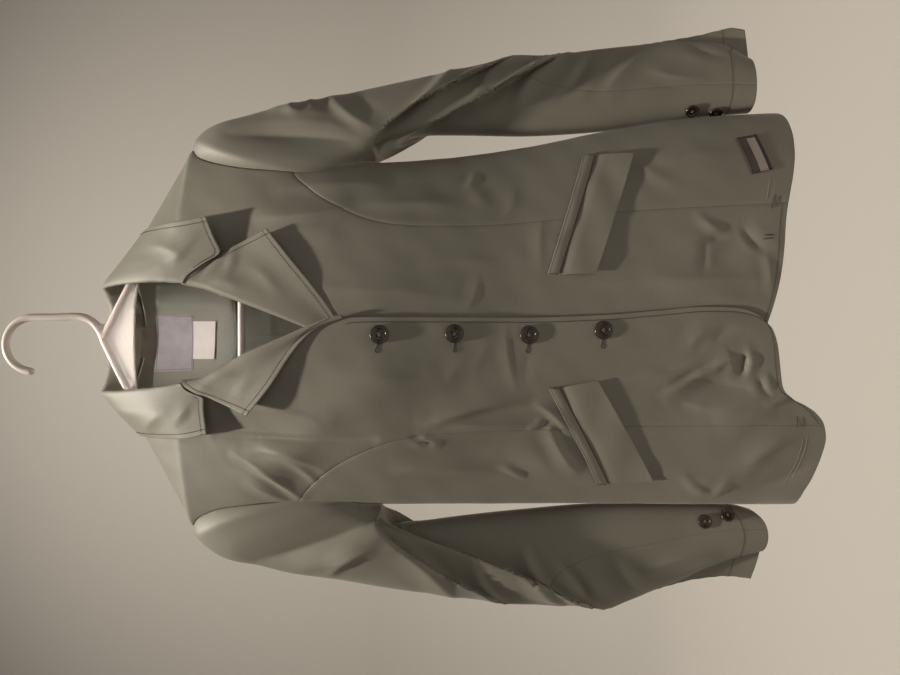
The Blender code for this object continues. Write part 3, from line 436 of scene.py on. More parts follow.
def wave_scale(pitch):
    """Scale of a wave texture whose bands are a distance in metres apart."""
    return 2 * math.pi / (20 * pitch)

# %% [markdown]
# ## Polyamide stretch cloth
#
# The jacket is a woven polyamide with elastane. It is smooth and dull, with a soft
# sheen where it turns away from the light. The real threads are about 0.3 mm apart,
# which is too fine to show from a step away, so they are drawn 0.9 mm apart here.
# The weave follows each piece's own grain, which its texture coordinates hold in metres.
# An image of cloth would repeat and would not follow the cut, so waves and noise draw it.

# %% The jacket's cloth, its inside and its thread
THREAD_PITCH = 0.0009


def stretch_cloth(name, light, dark, bump, **values):
    """Smooth woven cloth between two close shades."""
    material, shader = new_material(name, Roughness=0.62, IOR=1.5, Sheen_Weight=0.12, Sheen_Roughness=0.45,
                                    **values)
    links = material.node_tree.links
    grain = add_node(material, "ShaderNodeUVMap", uv_map="grain")["UV"]
    warp = add_node(material, "ShaderNodeTexWave", {"Vector": grain, "Scale": wave_scale(THREAD_PITCH)},
                    bands_direction="X")["Fac"]
    weft = add_node(material, "ShaderNodeTexWave", {"Vector": grain, "Scale": wave_scale(THREAD_PITCH)},
                    bands_direction="Y")["Fac"]
    weave = add_node(material, "ShaderNodeMath", {0: warp, 1: weft}, operation="MULTIPLY")[0]
    place = add_node(material, "ShaderNodeTexCoord")["Object"]
    mottle = add_node(material, "ShaderNodeTexNoise", {"Vector": place, "Scale": 9.0, "Detail": 2.0})["Fac"]
    slub = add_node(material, "ShaderNodeTexNoise", {"Vector": grain, "Scale": 420.0, "Detail": 2.0})["Fac"]
    tone = add_node(material, "ShaderNodeMix", {"Factor": mottle, "A": 0.0, "B": 1.0})["Result"]
    blend = add_node(material, "ShaderNodeMath", {0: tone, 1: slub}, operation="MULTIPLY")[0]
    shade = add_node(material, "ShaderNodeMix", {"Factor": blend, 6: linear(dark), 7: linear(light)},
                     data_type="RGBA")[2]
    links.new(shade, shader.inputs["Base Color"])
    rough = add_node(material, "ShaderNodeMapRange", {"Value": slub, "To Min": 0.44, "To Max": 0.58})["Result"]
    links.new(rough, shader.inputs["Roughness"])
    height = add_node(material, "ShaderNodeMath", {0: weave, 1: slub}, operation="ADD")[0]
    bumped = add_node(material, "ShaderNodeBump", {"Strength": bump, "Distance": 0.0002, "Height": height})["Normal"]
    links.new(bumped, shader.inputs["Normal"])
    return material


cloth = stretch_cloth("woven_polyamide_stretch", "#969386", "#838073", 0.35)
# The neck facing is the jacket's own cloth, given lighter shades: painted light, brighter than the cloth to make up
# for the shade inside the neck under the collar.
facing_cloth_painted_lighter = stretch_cloth("smooth_polyamide_facing", "#b4b3a3", "#a1a092", 0.2)
thread, _ = new_material("polyester_sewing_thread", Base_Color=linear("#191713"), Roughness=0.7)
print("cloth's threads are drawn", THREAD_PITCH * 1000, "mm apart")

# %% [markdown]
# ## Sewing a panel
#
# A cut piece could be a plane with a Solidify modifier. Here both faces are made from
# the same grid, which lets the thickness run out to nothing at the rim, so that the
# edge is rolled and two pieces that meet leave a fine groove. Grid lines lie close
# together at the rim and along a row of stitches, and wide apart elsewhere.

# %% Grid lines and distances on a piece
CLOTH_STEP = 3.4
EDGE_ROLL = 0.8
SEAM_SINK = 0.4
SEAM_REACH = 1.5
STITCH_GROOVE = 0.04
FINE_STEP = 2.4
EDGE_LINES = [0, 0.12, 0.4, 0.9, 1.7]
NO_STITCH = 0.0


def edge_lines(inset):
    """Distances of the grid lines from an edge, with five of them at a row of stitches."""
    if not inset:
        return np.array(EDGE_LINES)
    between = list(np.arange(4.6, inset - 2.6, CLOTH_STEP))
    return np.array(EDGE_LINES + between + [inset + step for step in (-1.1, -0.5, 0, 0.5, 1.1)])


def refined(grid, place, axis, first, last, step=CLOTH_STEP):
    """A grid with lines at set distances from two opposite edges, and evenly spaced between."""
    grid = np.swapaxes(grid, 0, axis)
    length = np.linalg.norm(np.diff(place(grid), axis=0), axis=2).cumsum(axis=0)
    length = np.concatenate([np.zeros((1, length.shape[1])), length])
    total = length[-1]
    reach = first[-1] + last[-1]
    count = max(2, round(float(total.mean() - reach) / step))
    share = np.linspace(0, 1, count + 1)[1:-1]
    lines = []
    for column, end in enumerate(total):
        fit = min(1.0, end / (2.0 * reach))
        start, stop = first * fit, end - last[::-1] * fit
        at = np.concatenate([start, start[-1] + (stop[0] - start[-1]) * share, stop])
        lines.append([np.interp(at, length[:, column], grid[:, column, value]) for value in range(grid.shape[2])])
    return np.swapaxes(np.transpose(np.array(lines), (2, 0, 1)), 0, axis)


def edge_distances(points):
    """Distance of every point from each edge of its grid, along the cloth."""
    across = np.linalg.norm(np.diff(points, axis=1), axis=2).cumsum(axis=1)
    left = np.concatenate([np.zeros((len(points), 1)), across], axis=1)
    along = np.linalg.norm(np.diff(points, axis=0), axis=2).cumsum(axis=0)
    top = np.concatenate([np.zeros((1, points.shape[1])), along])
    return {"left": left, "right": left[:, -1:] - left, "top": top, "bottom": top[-1:] - top}


def on_body(grid):
    """Points of the body for a grid of s and down."""
    return body_point(grid[..., 0], grid[..., 1])


def as_points(grid):
    """A grid that holds points already."""
    return grid

# %% [markdown]
# ## Stitches
#
# A row of topstitching sinks into the cloth and reads as a dotted line. Each stitch is
# a short, slightly arched thread of five sides. A texture could draw the dots, but real
# thread catches the light, and it costs only some thirty triangles a stitch.

# %% A mesh from rows of stitches
STITCH_PITCH = 2.4
STITCH_LENGTH = 1.15
STITCH_RADIUS = 0.42
STITCH_SIDES = 5


def mesh_piece(name, points, faces, material):
    """A new object from points in millimetres."""
    mesh = bpy.data.meshes.new(name)
    faces = faces.tolist() if isinstance(faces, np.ndarray) else faces
    mesh.from_pydata((np.asarray(points) * MM).tolist(), [], faces)
    mesh.materials.append(material)
    mesh.shade_smooth()
    piece = bpy.data.objects.new(name, mesh)
    bpy.context.scene.collection.objects.link(piece)
    return piece


def faces_in(start):
    """How many faces the pieces have whose names begin like this."""
    return sum(len(piece.data.polygons) for piece in bpy.data.objects if piece.name.startswith(start))


def grid_faces(rows, columns, closed=False):
    """Four-sided faces between the points of a grid. A closed one joins its last column to its first."""
    index = np.arange(rows * columns).reshape(rows, columns)
    after = np.roll(index, -1, axis=1)
    if not closed:
        index, after = index[:, :-1], after[:, :-1]
    return np.stack([index[:-1], after[:-1], after[1:], index[1:]], -1).reshape(-1, 4)


def stitch_mesh(name, rows, material=None, radius=STITCH_RADIUS, pitch=STITCH_PITCH, length=STITCH_LENGTH,
                turned=False):
    """One mesh of stitches along rows, each an array of points and one of outward directions."""
    share = np.array([-0.5, -0.22, 0.22, 0.5])
    width = radius * np.array([0.45, 1.0, 1.0, 0.45])
    angle = np.linspace(0, 2 * math.pi, STITCH_SIDES, endpoint=False)
    size = len(share) * STITCH_SIDES
    one_stitch = grid_faces(len(share), STITCH_SIDES, closed=True).tolist()
    one_stitch += [list(range(STITCH_SIDES))[::-1], list(range(size - STITCH_SIDES, size))]
    points, faces, count = [], [], 0
    for line, out in rows:
        run = np.concatenate([[0], np.linalg.norm(np.diff(line, axis=0), axis=1).cumsum()])
        if run[-1] < pitch:
            continue
        at = np.arange(pitch / 2, run[-1], pitch)
        centre = np.stack([np.interp(at, run, line[:, k]) for k in range(3)], -1)
        ahead = np.stack([np.interp(at + 0.5, run, line[:, k]) for k in range(3)], -1)
        before = np.stack([np.interp(at - 0.5, run, line[:, k]) for k in range(3)], -1)
        along = unit(ahead - before)
        up = unit(np.stack([np.interp(at, run, out[:, k]) for k in range(3)], -1))
        side = np.cross(along, up)
        if turned:
            along, side = side, along
        spine = (centre[:, None] + along[:, None] * (share * length)[None, :, None]
                 + up[:, None] * (0.16 * (1 - (2 * share) ** 2))[None, :, None])
        ring = (side[:, None, None] * np.cos(angle)[None, None, :, None]
                + up[:, None, None] * np.sin(angle)[None, None, :, None]) * width[None, :, None, None]
        made = (spine[:, :, None] + ring).reshape(-1, 3)
        points.append(made)
        for first in range(count, count + len(made), size):
            faces += [[corner + first for corner in face] for face in one_stitch]
        count += len(made)
    if not points:
        return None
    piece = mesh_piece(name, np.concatenate(points), faces, material or thread)
    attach(piece, "root")
    return piece

# %% [markdown]
# ## From a grid to a piece of cloth
#
# The shell takes the outer and inner face of the solid, moves the two together at the
# rim, presses a groove under each row of stitches, and stands for its node.

# %% Sew one panel
cut_pieces = {}


def row_inside(face, out, away, edge, inset):
    """Points and outward directions along a row at a distance from an edge."""
    reach = away[edge]
    if edge in ("left", "right"):
        face, out, reach = np.swapaxes(face, 0, 1), np.swapaxes(out, 0, 1), reach.T
    if edge in ("right", "bottom"):
        face, out, reach = face[::-1], out[::-1], reach[::-1]
    line = [[np.interp(inset, reach[:, k], face[:, k, axis]) for axis in range(3)] for k in range(reach.shape[1])]
    way = [[np.interp(inset, reach[:, k], out[:, k, axis]) for axis in range(3)] for k in range(reach.shape[1])]
    return np.array(line), unit(np.array(way))


def sew(name, outer, inner, stitched=(), seams=(), material=None, slot="jacket_cloth", seen=1.0, colour=None):
    """A shell of cloth for a node. A stitched row is an edge, an inset, and where it starts and ends going down."""
    middle, half = (outer + inner) / 2, (outer - inner) / 2
    wall = np.linalg.norm(half, axis=2, keepdims=True)
    out = half / wall
    away = edge_distances(middle)
    nearest = np.minimum.reduce(list(away.values()))
    down = -middle[..., 2]
    sink = SEAM_SINK * sum(np.exp(-(away[edge] / SEAM_REACH) ** 2) for edge in seams) + np.zeros(down.shape)
    rows = []
    for edge, inset, start, end in stitched:
        within = ease((down - start) / 6 + 0.5) * ease((end - down) / 6 + 0.5)
        sink = sink + seen * STITCH_GROOVE * within * np.exp(-((away[edge] - inset) / 0.7) ** 2)
    middle = middle - out * sink[..., None]
    roll = np.clip(nearest / EDGE_ROLL, 0, 1)
    half = out * wall * np.maximum(np.sqrt(1 - (1 - roll) ** 2), 0.05)[..., None]
    outer, inner = middle + half, middle - half
    for edge, inset, start, end in stitched:
        line, way = row_inside(outer if seen > 0 else inner, out * seen, away, edge, inset)
        kept = (-line[:, 2] >= start) & (-line[:, 2] <= end)
        if kept.sum() > 2:
            rows.append((line[kept] + way[kept] * 0.05, way[kept]))
    height, width = outer.shape[:2]
    count = height * width
    index = np.arange(count).reshape(height, width)
    quads = grid_faces(height, width)
    ring = np.concatenate([index[0], index[1:, -1], index[-1, -2::-1], index[-2:0:-1, 0]])
    rim = np.stack([ring, ring + count, np.roll(ring, -1) + count, np.roll(ring, -1)], -1)
    faces = np.concatenate([quads, quads[:, ::-1] + count, rim])
    across = outer[:-1, 1:] - outer[:-1, :-1]
    along = outer[1:, :-1] - outer[:-1, :-1]
    if np.sum(np.cross(across, along) * out[:-1, :-1]) < 0:
        faces = faces[:, ::-1]
    piece = mesh_piece(name, np.concatenate([outer.reshape(-1, 3), inner.reshape(-1, 3)]), faces, material or cloth)
    grain = np.stack([away["left"], -away["top"]], -1).reshape(-1, 2) * MM
    layer = piece.data.uv_layers.new(name="grain")
    layer.uv.foreach_set("vector", np.concatenate([grain, grain])[faces.ravel()].astype(np.float32).ravel())
    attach(piece, "root")
    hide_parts(name.replace("cloth_", ""))
    area = np.linalg.norm(np.cross(across, along), axis=2).sum() * MM * MM
    size = (float((away["left"][:, -1]).max()) * MM, float(away["top"][-1].max()) * MM)
    stitches = stitch_mesh(name.replace("cloth_", "stitches_"), rows, colour)
    cut_pieces[name] = {"outer": outer, "inner": inner, "out": out, "away": away, "size": size, "area": float(area)}
    return piece

# %% [markdown]
# ## Fronts and side fronts
#
# Each front runs from the shoulder to the rounded hem, and a princess seam joins it to
# its side front. The right front closes over the left one, so it is lifted a little
# towards its edge. The closing edge and the hem are topstitched.

# %% Outlines of the fronts
# Shoulders and sides
SHOULDER_TIP = 187.0
UNDERARM = {"right": 378.0, "left": 373.0}
# The armholes' seams, as the distance across at each height.
ARMHOLE = Table("down right left", [
    (187, -185, 198),
    (195, -174.5, 188),
    (205, -168.5, 183),
    (218, -163, 178.5),
    (245, -157, 172),
    (270, -153.5, 168.5),
    (302, -151, 166),
    (332, -150.5, 167),
    (355, -152, 170.5),
    (367, -154.5, 176.5),
    (373, -156.8, 182),
    (378, -159.5, 182),
])
# The princess seams of the front.
PRINCESS = Table("down right left", [
    (297, -156, 164),
    (302, -150, 159),
    (317, -133, 146),
    (335, -117.5, 134),
    (355, -105.5, 123.5),
    (374, -96.5, 116.5),
    (397, -89, 112),
    (430, -83, 110.5),
    (470, -80.5, 111),
    (545, -78.5, 117),
    (620, -76, 125),
    (770, -74, 131.5),
    (800, -74, 132),
])
PRINCESS_TOP = {"right": 302.0, "left": 297.0}
PRINCESS_FOOT = {"right": -74.0, "left": 132.0}
SIDE_FOOT = {"right": 789.0, "left": 771.0}
# Edge of each front from the neck seam at the shoulder down: roll line, then closing edge.
FRONT_EDGE = Table("down right left", [
    (115, -50, 73.6),
    (125, -53, 73.5),
    (138, -53, 72.5),
    (152, -51.5, 71),
    (175, -45, 66),
    (198, -37, 61),
    (215, -33.5, 56),
    (234, -24, 49.5),
    (258, -11, 41),
    (290, 1.5, 29),
    (322, 15, 16),
    (345, 23, 4),
    (360, 25.5, -6),
    (385, 25.8, -12),
    (515, 25.5, -13),
    (590, 28, -13),
    (640, 32, -14),
    (682, 35.5, -13),
    (705, 35, -10),
    (723, 31.5, -3),
    (734, 25, 6),
    (741, 17, 14),
])
EDGE_FOOT = {"right": 739.0, "left": 735.0}
NECK_POINT = 115.0
# Height of the front hem across, from the wearer's right side to the left.
HEM_RIGHT = Table("x down", [
    (-160, 789),
    (-150, 786.5),
    (-143, 786.5),
    (-127, 790),
    (-107, 794.7),
    (-88, 797),
    (-74, 794.3),
    (-63, 786),
    (-55.5, 775),
    (-49, 762),
    (-41.5, 754.5),
    (-27, 751),
    (0, 747.5),
    (14, 743),
    (24, 734),
])
HEM_LEFT = Table("x down", [
    (6, 735),
    (20, 739.5),
    (32, 743.5),
    (65, 752),
    (93, 755.5),
    (116, 757.5),
    (139, 762),
    (159, 767),
    (180, 771),
    (202, 773),
    (217, 773),
    (232, 771),
])

# %% [markdown]
# ## Panels between four edges
#
# A cut piece is known by its four edges. Its inside follows them evenly, as cloth
# does when it is laid flat, so the grid lines run along each edge and its stitches.

# %% Panels between four edges
def coons(top, bottom, left, right):
    """Fill between four edges, each an array of rows of values."""
    a = np.linspace(0, 1, len(top))[None, :, None]
    b = np.linspace(0, 1, len(left))[:, None, None]
    straight = (mix(mix(top[0], top[-1], a), mix(bottom[0], bottom[-1], a), b))
    return (mix(top[None], bottom[None], b) + mix(left[:, None], right[:, None], a) - straight)


def curve_down(find_s, start, end):
    """Edge that runs down from one height to another."""
    down = np.linspace(start, end, FINE)
    return np.stack([find_s(down), down], axis=-1)


def respaced(edge, count):
    """An edge of values resampled evenly along the cloth."""
    points = body_point(edge[:, 0], edge[:, 1])
    length = np.concatenate([[0], np.cumsum(np.linalg.norm(np.diff(points, axis=0), axis=1))])
    at = np.linspace(0, length[-1], count)
    return np.stack([np.interp(at, length, edge[:, 0]), np.interp(at, length, edge[:, 1])], axis=-1)


def joined(*edges):
    """Edges end to end."""
    return np.concatenate([edges[0]] + [edge[1:] for edge in edges[1:]])


def shifted(edge, amount):
    """An edge moved along s by a distance in millimetres."""
    step = 0.004
    reach = np.linalg.norm(body_point(edge[:, 0] + step, edge[:, 1]) - body_point(edge[:, 0] - step, edge[:, 1]),
                           axis=1) / (2 * step)
    return np.stack([edge[:, 0] + amount / reach, edge[:, 1]], axis=-1)


def hem_edge(table, find_s, start_x, end_x):
    """Edge along a hem."""
    x = np.linspace(start_x, end_x, FINE)
    down = table.read("down", x)
    return np.stack([find_s(x, down), down], axis=-1)


def front_lift(side, s, down):
    """How far a front lies outside the body: the right one closes over the left."""
    if side == "left":
        return np.zeros(np.shape(s))
    x = plain_body(s, down)[..., 0]
    height = mix(4.6, 3.0, ease((down - 370) / 60))
    return height * ease((x + 70) / 50) * ease((down - 210) / 70)


def corners_met(top, bottom, left, right):
    """Give two side edges the end points of the top and bottom edges."""
    left[0], left[-1] = top[0], bottom[0]
    right[0], right[-1] = top[-1], bottom[-1]
    return coons(top, bottom, left, right)

# %% Sew the fronts
FRONT_STITCH = 5.5
HEM_STITCH = 21.0
FRONT_BREAK = {"right": 352.0, "left": 350.0}


def panel_grid(top, bottom, left, right, insets, step=CLOTH_STEP):
    """A refined grid between four edges, with lines at the insets of its left, right, top and bottom."""
    grid = corners_met(top, bottom, left, right)
    grid = refined(grid, on_body, 1, edge_lines(insets[0]), edge_lines(insets[1]), step)
    return refined(grid, on_body, 0, edge_lines(insets[2]), edge_lines(insets[3]), step)


def sew_fronts():
    """The fronts and side fronts."""
    for side, sign in SIDE.items():
        half_gap = sign * SEAM_GAP / 2
        hem_table = HEM_RIGHT if side == "right" else HEM_LEFT
        seam_foot = float(hem_table.read("down", PRINCESS_FOOT[side]))
        foot_x = float(PRINCESS.read(side, seam_foot))
        edge_x = float(FRONT_EDGE.read(side, EDGE_FOOT[side]))
        closing = curve_down(lambda d: around(FRONT_EDGE.read(side, d), d), NECK_POINT, EDGE_FOOT[side])
        shoulder = curve_down(lambda d: np.full(len(d), sign), NECK_POINT, SHOULDER_TIP)
        arm = curve_down(lambda d: around(ARMHOLE.read(side, d), d), SHOULDER_TIP, PRINCESS_TOP[side])
        seam = curve_down(lambda d: around(PRINCESS.read(side, d), d), PRINCESS_TOP[side], seam_foot)
        seam = respaced(seam, 90)
        hem = respaced(hem_edge(hem_table, around, edge_x, foot_x), 50)
        far_edge = shifted(joined(respaced(arm, 31), seam), -half_gap)
        shoulder = shifted(respaced(shoulder, 50), -half_gap)
        grid = panel_grid(shoulder, hem, respaced(closing, 120), far_edge,
                          (FRONT_STITCH, NO_STITCH, NO_STITCH, FRONT_STITCH), FINE_STEP)
        s, down = grid[..., 0], grid[..., 1]
        lift = front_lift(side, s, down)
        sew(f"cloth_front_{side}", worn(s, down, lift), worn(s, down, lift - WALL),
            [("left", FRONT_STITCH, FRONT_BREAK[side], 800), ("bottom", FRONT_STITCH, 0, 900)],
            ("top", "right"))

        foot = SIDE_FOOT[side]
        arm = curve_down(lambda d: around(ARMHOLE.read(side, d), d), PRINCESS_TOP[side], UNDERARM[side])
        side_seam = curve_down(lambda d: np.full(len(d), sign), UNDERARM[side], foot)
        side_seam = shifted(respaced(side_seam, 90), -half_gap)
        hem = respaced(hem_edge(hem_table, around, foot_x, float(BODY.read(side, foot))), 40)
        grid = panel_grid(respaced(arm, 40), hem, shifted(seam, half_gap), side_seam,
                          (NO_STITCH, NO_STITCH, NO_STITCH, HEM_STITCH))
        s, down = grid[..., 0], grid[..., 1]
        sew(f"cloth_front_side_{side}", worn(s, down), worn(s, down, -WALL), [], ("left", "right", "top"))


sew_fronts()

# %% [markdown]
# ## The backs
#
# Two backs meet at the centre seam. They are cut whole, from the neck and shoulder to
# the turned hem, which two rows of stitches hold inside.

# %% Sew the backs
BACK_CENTRE = -2.0
HEM_BACK = Table("x down", [
    (-160, 789),
    (-140, 790),
    (-60, 787),
    (35, 783),
    (130, 780),
    (210, 774),
    (232, 771),
])


def neck_down(s):
    """Height of the back's neck edge."""
    return NECK_POINT + 8.0 * np.sin(np.clip((-1 - s) / 2, 0, 1) * math.pi)


def sew_backs():
    """The two backs, from the centre seam to the sides."""
    for side, edge_s in (("right", -1.0), ("left", -3.0)):
        half_gap = SEAM_GAP / 2 if side == "left" else -SEAM_GAP / 2
        neck_s = np.linspace(BACK_CENTRE, edge_s, 40)
        neck = respaced(np.stack([neck_s, neck_down(neck_s)], axis=-1), 21)
        shoulder = curve_down(lambda d: np.full(len(d), edge_s), NECK_POINT, SHOULDER_TIP)
        shoulder = shifted(respaced(shoulder, 40), half_gap)
        arm = curve_down(lambda d: behind(ARMHOLE.read(side, d), d), SHOULDER_TIP, UNDERARM[side])
        foot = SIDE_FOOT[side]
        side_seam = curve_down(lambda d: np.full(len(d), edge_s), UNDERARM[side], foot)
        side_seam = shifted(respaced(side_seam, 70), half_gap)
        centre_x = float(plain_body(BACK_CENTRE, 783.0)[0])
        hem = respaced(hem_edge(HEM_BACK, behind, centre_x, float(BODY.read(side, foot))), 60)
        centre = curve_down(lambda d: np.full(len(d), BACK_CENTRE), neck[0, 1], hem[0, 1])
        centre = shifted(respaced(centre, 120), -half_gap)
        top = joined(neck, shoulder)
        top[0], hem[0], hem[-1] = centre[0], centre[-1], side_seam[-1]
        grid = panel_grid(top, hem, centre, joined(respaced(arm, 51), side_seam),
                          (NO_STITCH, NO_STITCH, NO_STITCH, HEM_STITCH))
        s, down = grid[..., 0], grid[..., 1]
        sew(f"cloth_back_{side}", worn(s, down), worn(s, down, -WALL), [("bottom", HEM_STITCH, 0, 900)],
            ("left", "right", "top"))


sew_backs()

# %% [markdown]
# ## Neck facing
#
# The facing hides the neck seam. Its ends lie under the collar, and its low edge hangs
# free in a shallow curve, with a few creases that the labels above it share.

# %% Sew the neck facing
FACING_WALL = 1.2
FACING_GAP = 2.2
FACING_STITCH = 3.0
FACING_SPAN = (-1.2, -2.8)
FACING_ENDS = 138.0
FACING_LOW = 145.0
FACING_DEPTH = 71.0
FACING_CREASES = Table(CREASE_COLUMNS, [
    (43, 132, 40, 222, 1, 5, 0.5, 1.9),
    (36, 140, 34, 214, -1, 9, 0, 0.9),
    (-22, 146, -14, 214, 2, 10, 0.2, 1.0),
    (-34, 128, -20, 150, 2, 5, 0.3, 1.0),
    (12, 196, 30, 216, 2, 6, 0, 0.8),
])


def sew_facing():
    """The neck facing inside the backs."""
    first, last = FACING_SPAN
    neck_s = np.linspace(first, last, 60)
    neck = np.stack([neck_s, neck_down(neck_s) + 0.6], axis=-1)
    rise = np.linspace(FACING_ENDS, neck[0, 1], 12)
    fall = np.linspace(neck[-1, 1], FACING_ENDS, 12)
    top = joined(np.stack([np.full(12, first), rise], -1), neck, np.stack([np.full(12, last), fall], -1))
    low_down = FACING_LOW + FACING_DEPTH * np.sin(np.linspace(0, math.pi, 60)) ** 0.8
    low = np.stack([np.linspace(first, last, 60), low_down], axis=-1)
    short = [np.stack([np.full(8, at), np.linspace(FACING_ENDS, FACING_LOW, 8)], -1) for at in (first, last)]
    grid = corners_met(respaced(top, 60), respaced(low, 60), respaced(short[0], 30), respaced(short[1], 30))
    grid = refined(grid, on_body, 1, edge_lines(NO_STITCH), edge_lines(NO_STITCH))
    grid = refined(grid, on_body, 0, edge_lines(NO_STITCH), edge_lines(FACING_STITCH))
    s, down = grid[..., 0], grid[..., 1]
    lift = -WALL - FACING_GAP
    outer, inner = body_point(s, down, lift), body_point(s, down, lift - FACING_WALL)
    pushed = unit(outer - inner) * crease_rise(inner, FACING_CREASES)[..., None]
    sew("cloth_back_facing", outer - pushed, inner - pushed, [("bottom", FACING_STITCH, 0, 900)],
        material=facing_cloth_painted_lighter, seen=-1.0)


sew_facing()
print("back pieces:", [name for name in cut_pieces if "back" in name])

# %% [markdown]
# ## Lapels
#
# A lapel is the top of the front turned over at the roll line. Its free edge stands a
# little off the chest, and the topstitching runs inside that edge.

# %% Outlines of the lapels
# Each lapel: its edge from the gorge to the tip and from the tip to the break,
# as distance across, height and stand-off from the front below it.
LAPEL_TOP = {
    "right": Table("along x down lift", [(0, -35.5, 198, 4), (0.4, -47, 221, 7), (1, -63, 265, 14)]),
    "left": Table("along x down lift", [(0, 59.5, 199, 3), (0.45, 87, 239, 7), (1, 107, 281, 14)]),
}
LAPEL_OUTER = {
    "right": Table("along x down lift", [
        (0, -63, 265, 14), (0.35, -36, 287, 12), (0.65, -8, 305, 9), (0.85, 13, 324, 7), (1, 25, 351, 6)]),
    "left": Table("along x down lift", [
        (0, 107, 281, 14), (0.3, 81, 301, 11), (0.55, 58, 320, 7), (0.8, 31, 340, 1.8), (1, 10, 352, 1.3)]),
}
LAPEL_START = 199.5
LAPEL_BREAK = {"right": 351.0, "left": 345.0}
ROLL_TOP, ROLL_BREAK = 1.9, 1.2
LAPEL_GAP = 1.2
LAPEL_STITCH = 5.0
CURL_SHARE = 0.09
LAPEL_ROWS = 70
TUCK_SHARE = 0.12
LAPEL_STANDS = {"right": 1.0, "left": 0.55}
GORGE_END = 0.46
GORGE_UP = 6.0
GORGE_UNDER = 0.8
LAPEL_CREASES = Table(CREASE_COLUMNS, [
    (-46, 212, -34, 228, 1, 4, 0.3, 1.6),
    (-34, 214, -26, 246, 1, 5, 0.2, 1.8),
    (-50, 250, -30, 268, 2, 6, 0, 1.3),
    (62, 210, 88, 236, 2, 5, 0.3, -2.2),
    (60, 226, 54, 252, 2, 6, 0.2, 1.6),
    (66, 240, 92, 246, -2, 5, 0, 1.4),
    (74, 262, 50, 290, 2, 8, 0.2, 1.3),
])

# %% [markdown]
# ## The lapels as cloth
#
# Each lapel is the front turned over. The cloth makes a tight half circle at the roll
# line, and from there it lies a little off the chest.

# %% Sew the lapels
def thicken(grid, wall):
    """The two faces of a wall on each side of a grid's middle."""
    out = unit(np.cross(np.gradient(grid, axis=1), np.gradient(grid, axis=0)))
    return grid + out * wall / 2, grid - out * wall / 2


def sew_lapels():
    """The turned-back fronts, rolled over at the roll line."""
    across = np.concatenate([np.linspace(0, CURL_SHARE, 14)[:-1], np.linspace(CURL_SHARE, 1, 50)])
    flat = np.clip((across - CURL_SHARE) / (1 - CURL_SHARE), 0, 1)
    angle = np.clip(across / CURL_SHARE, 0, 1) * math.pi
    for side, sign in SIDE.items():
        top, outer = LAPEL_TOP[side], LAPEL_OUTER[side]
        grids = {name: [] for name in ("x", "down", "lift")}
        for along in np.linspace(0, 1, LAPEL_ROWS):
            down = mix(LAPEL_START, LAPEL_BREAK[side], along)
            x = FRONT_EDGE.read(side, down)
            start = {"x": x, "down": down, "lift": front_lift(side, around(x, down), down) - WALL / 2}
            radius = mix(ROLL_TOP, ROLL_BREAK if side == "left" else ROLL_TOP, ease(along * 1.3))
            curled = {"x": -sign * (LAPEL_GAP + radius * np.sin(angle)) * (1 - flat) ** 6, "down": 0,
                      "lift": radius * (1 - np.cos(angle)) * (1 - ease(flat * 1.4))}
            for name, rows in grids.items():
                stands = LAPEL_STANDS[side] if name == "lift" else 1.0
                line = mix(start[name], outer.read(name, along) * stands, flat)
                first, last = top.read(name, 0), top.read(name, 1)
                bow = (top.read(name, flat) - mix(first, last, flat)) * (1 - along) * stands
                rows.append(line + bow + curled[name])
        x, down, lift = (np.array(grids[name]) for name in ("x", "down", "lift"))
        middle = body_point(around(x, down), down, lift)
        tuck = ease(1 - np.linspace(0, 1, LAPEL_ROWS) / TUCK_SHARE)[:, None] * ease((GORGE_END - across) / 0.1)[None]
        middle = middle + np.array([0.0, GORGE_UNDER, GORGE_UP]) * tuck[..., None]
        middle = refined(middle, as_points, 1, edge_lines(NO_STITCH), edge_lines(LAPEL_STITCH), 2.6)
        middle = refined(middle, as_points, 0, edge_lines(LAPEL_STITCH), edge_lines(NO_STITCH), 2.6)
        outer_face, inner_face = thicken(middle, WALL)
        if (outer_face - inner_face)[30, -9, 1] > 0:
            outer_face, inner_face = inner_face, outer_face
        out = unit(outer_face - inner_face) * crease_rise(middle, LAPEL_CREASES)[..., None]
        sew(f"cloth_lapel_{side}", outer_face + out, inner_face + out,
            [("right", LAPEL_STITCH, 0, 340), ("top", LAPEL_STITCH, 0, 400)])


sew_lapels()
print("lapel, mm:", [round(v / MM, 1) for v in cut_pieces["cloth_lapel_left"]["size"]])

# %% [markdown]
# ## Collar
#
# The collar is one piece that stands up from the neck seam, folds over and falls on
# the shoulders. Nine stations round the neck hold its fold, its fall and its edge.

# %% Lines of the collar
# Lines round the collar from the wearer's right front to the left front:
# fold, middle and outer edge of the fall, each as x, y, down.
COLLAR = Table("station fold_x fold_y fold_down fall_x fall_y fall_down edge_x edge_y edge_down", [
    (0, -36.5, -52.5, 193, -50.5, -58, 217, -83, -60, 222),
    (1, -42, -41, 156, -65, -49, 176, -88.5, -52, 196),
    (2, -48.5, 0, 93, -69, -1, 111, -92, 1, 133),
    (3, -26, 27, 86.5, -37, 37, 108, -48, 39, 132),
    (4, 10, 36, 85, 10, 46, 106, 10, 51, 132),
    (5, 44, 27, 87, 56, 37, 107, 68, 39, 132),
    (6, 57, 0, 94.5, 82, -1, 113, 114, 2, 136),
    (7, 60.5, -41, 158, 85, -51, 189, 116, -51, 189),
    (8, 58.5, -52.5, 195, 88, -59, 233, 120, -60, 221),
])
COLLAR_STATIONS = 8.0
COLLAR_END = 194.0
NECK_MIDDLE = np.array([11.0, 0.0, 0.0])
COLLAR_FOLD = 3.2


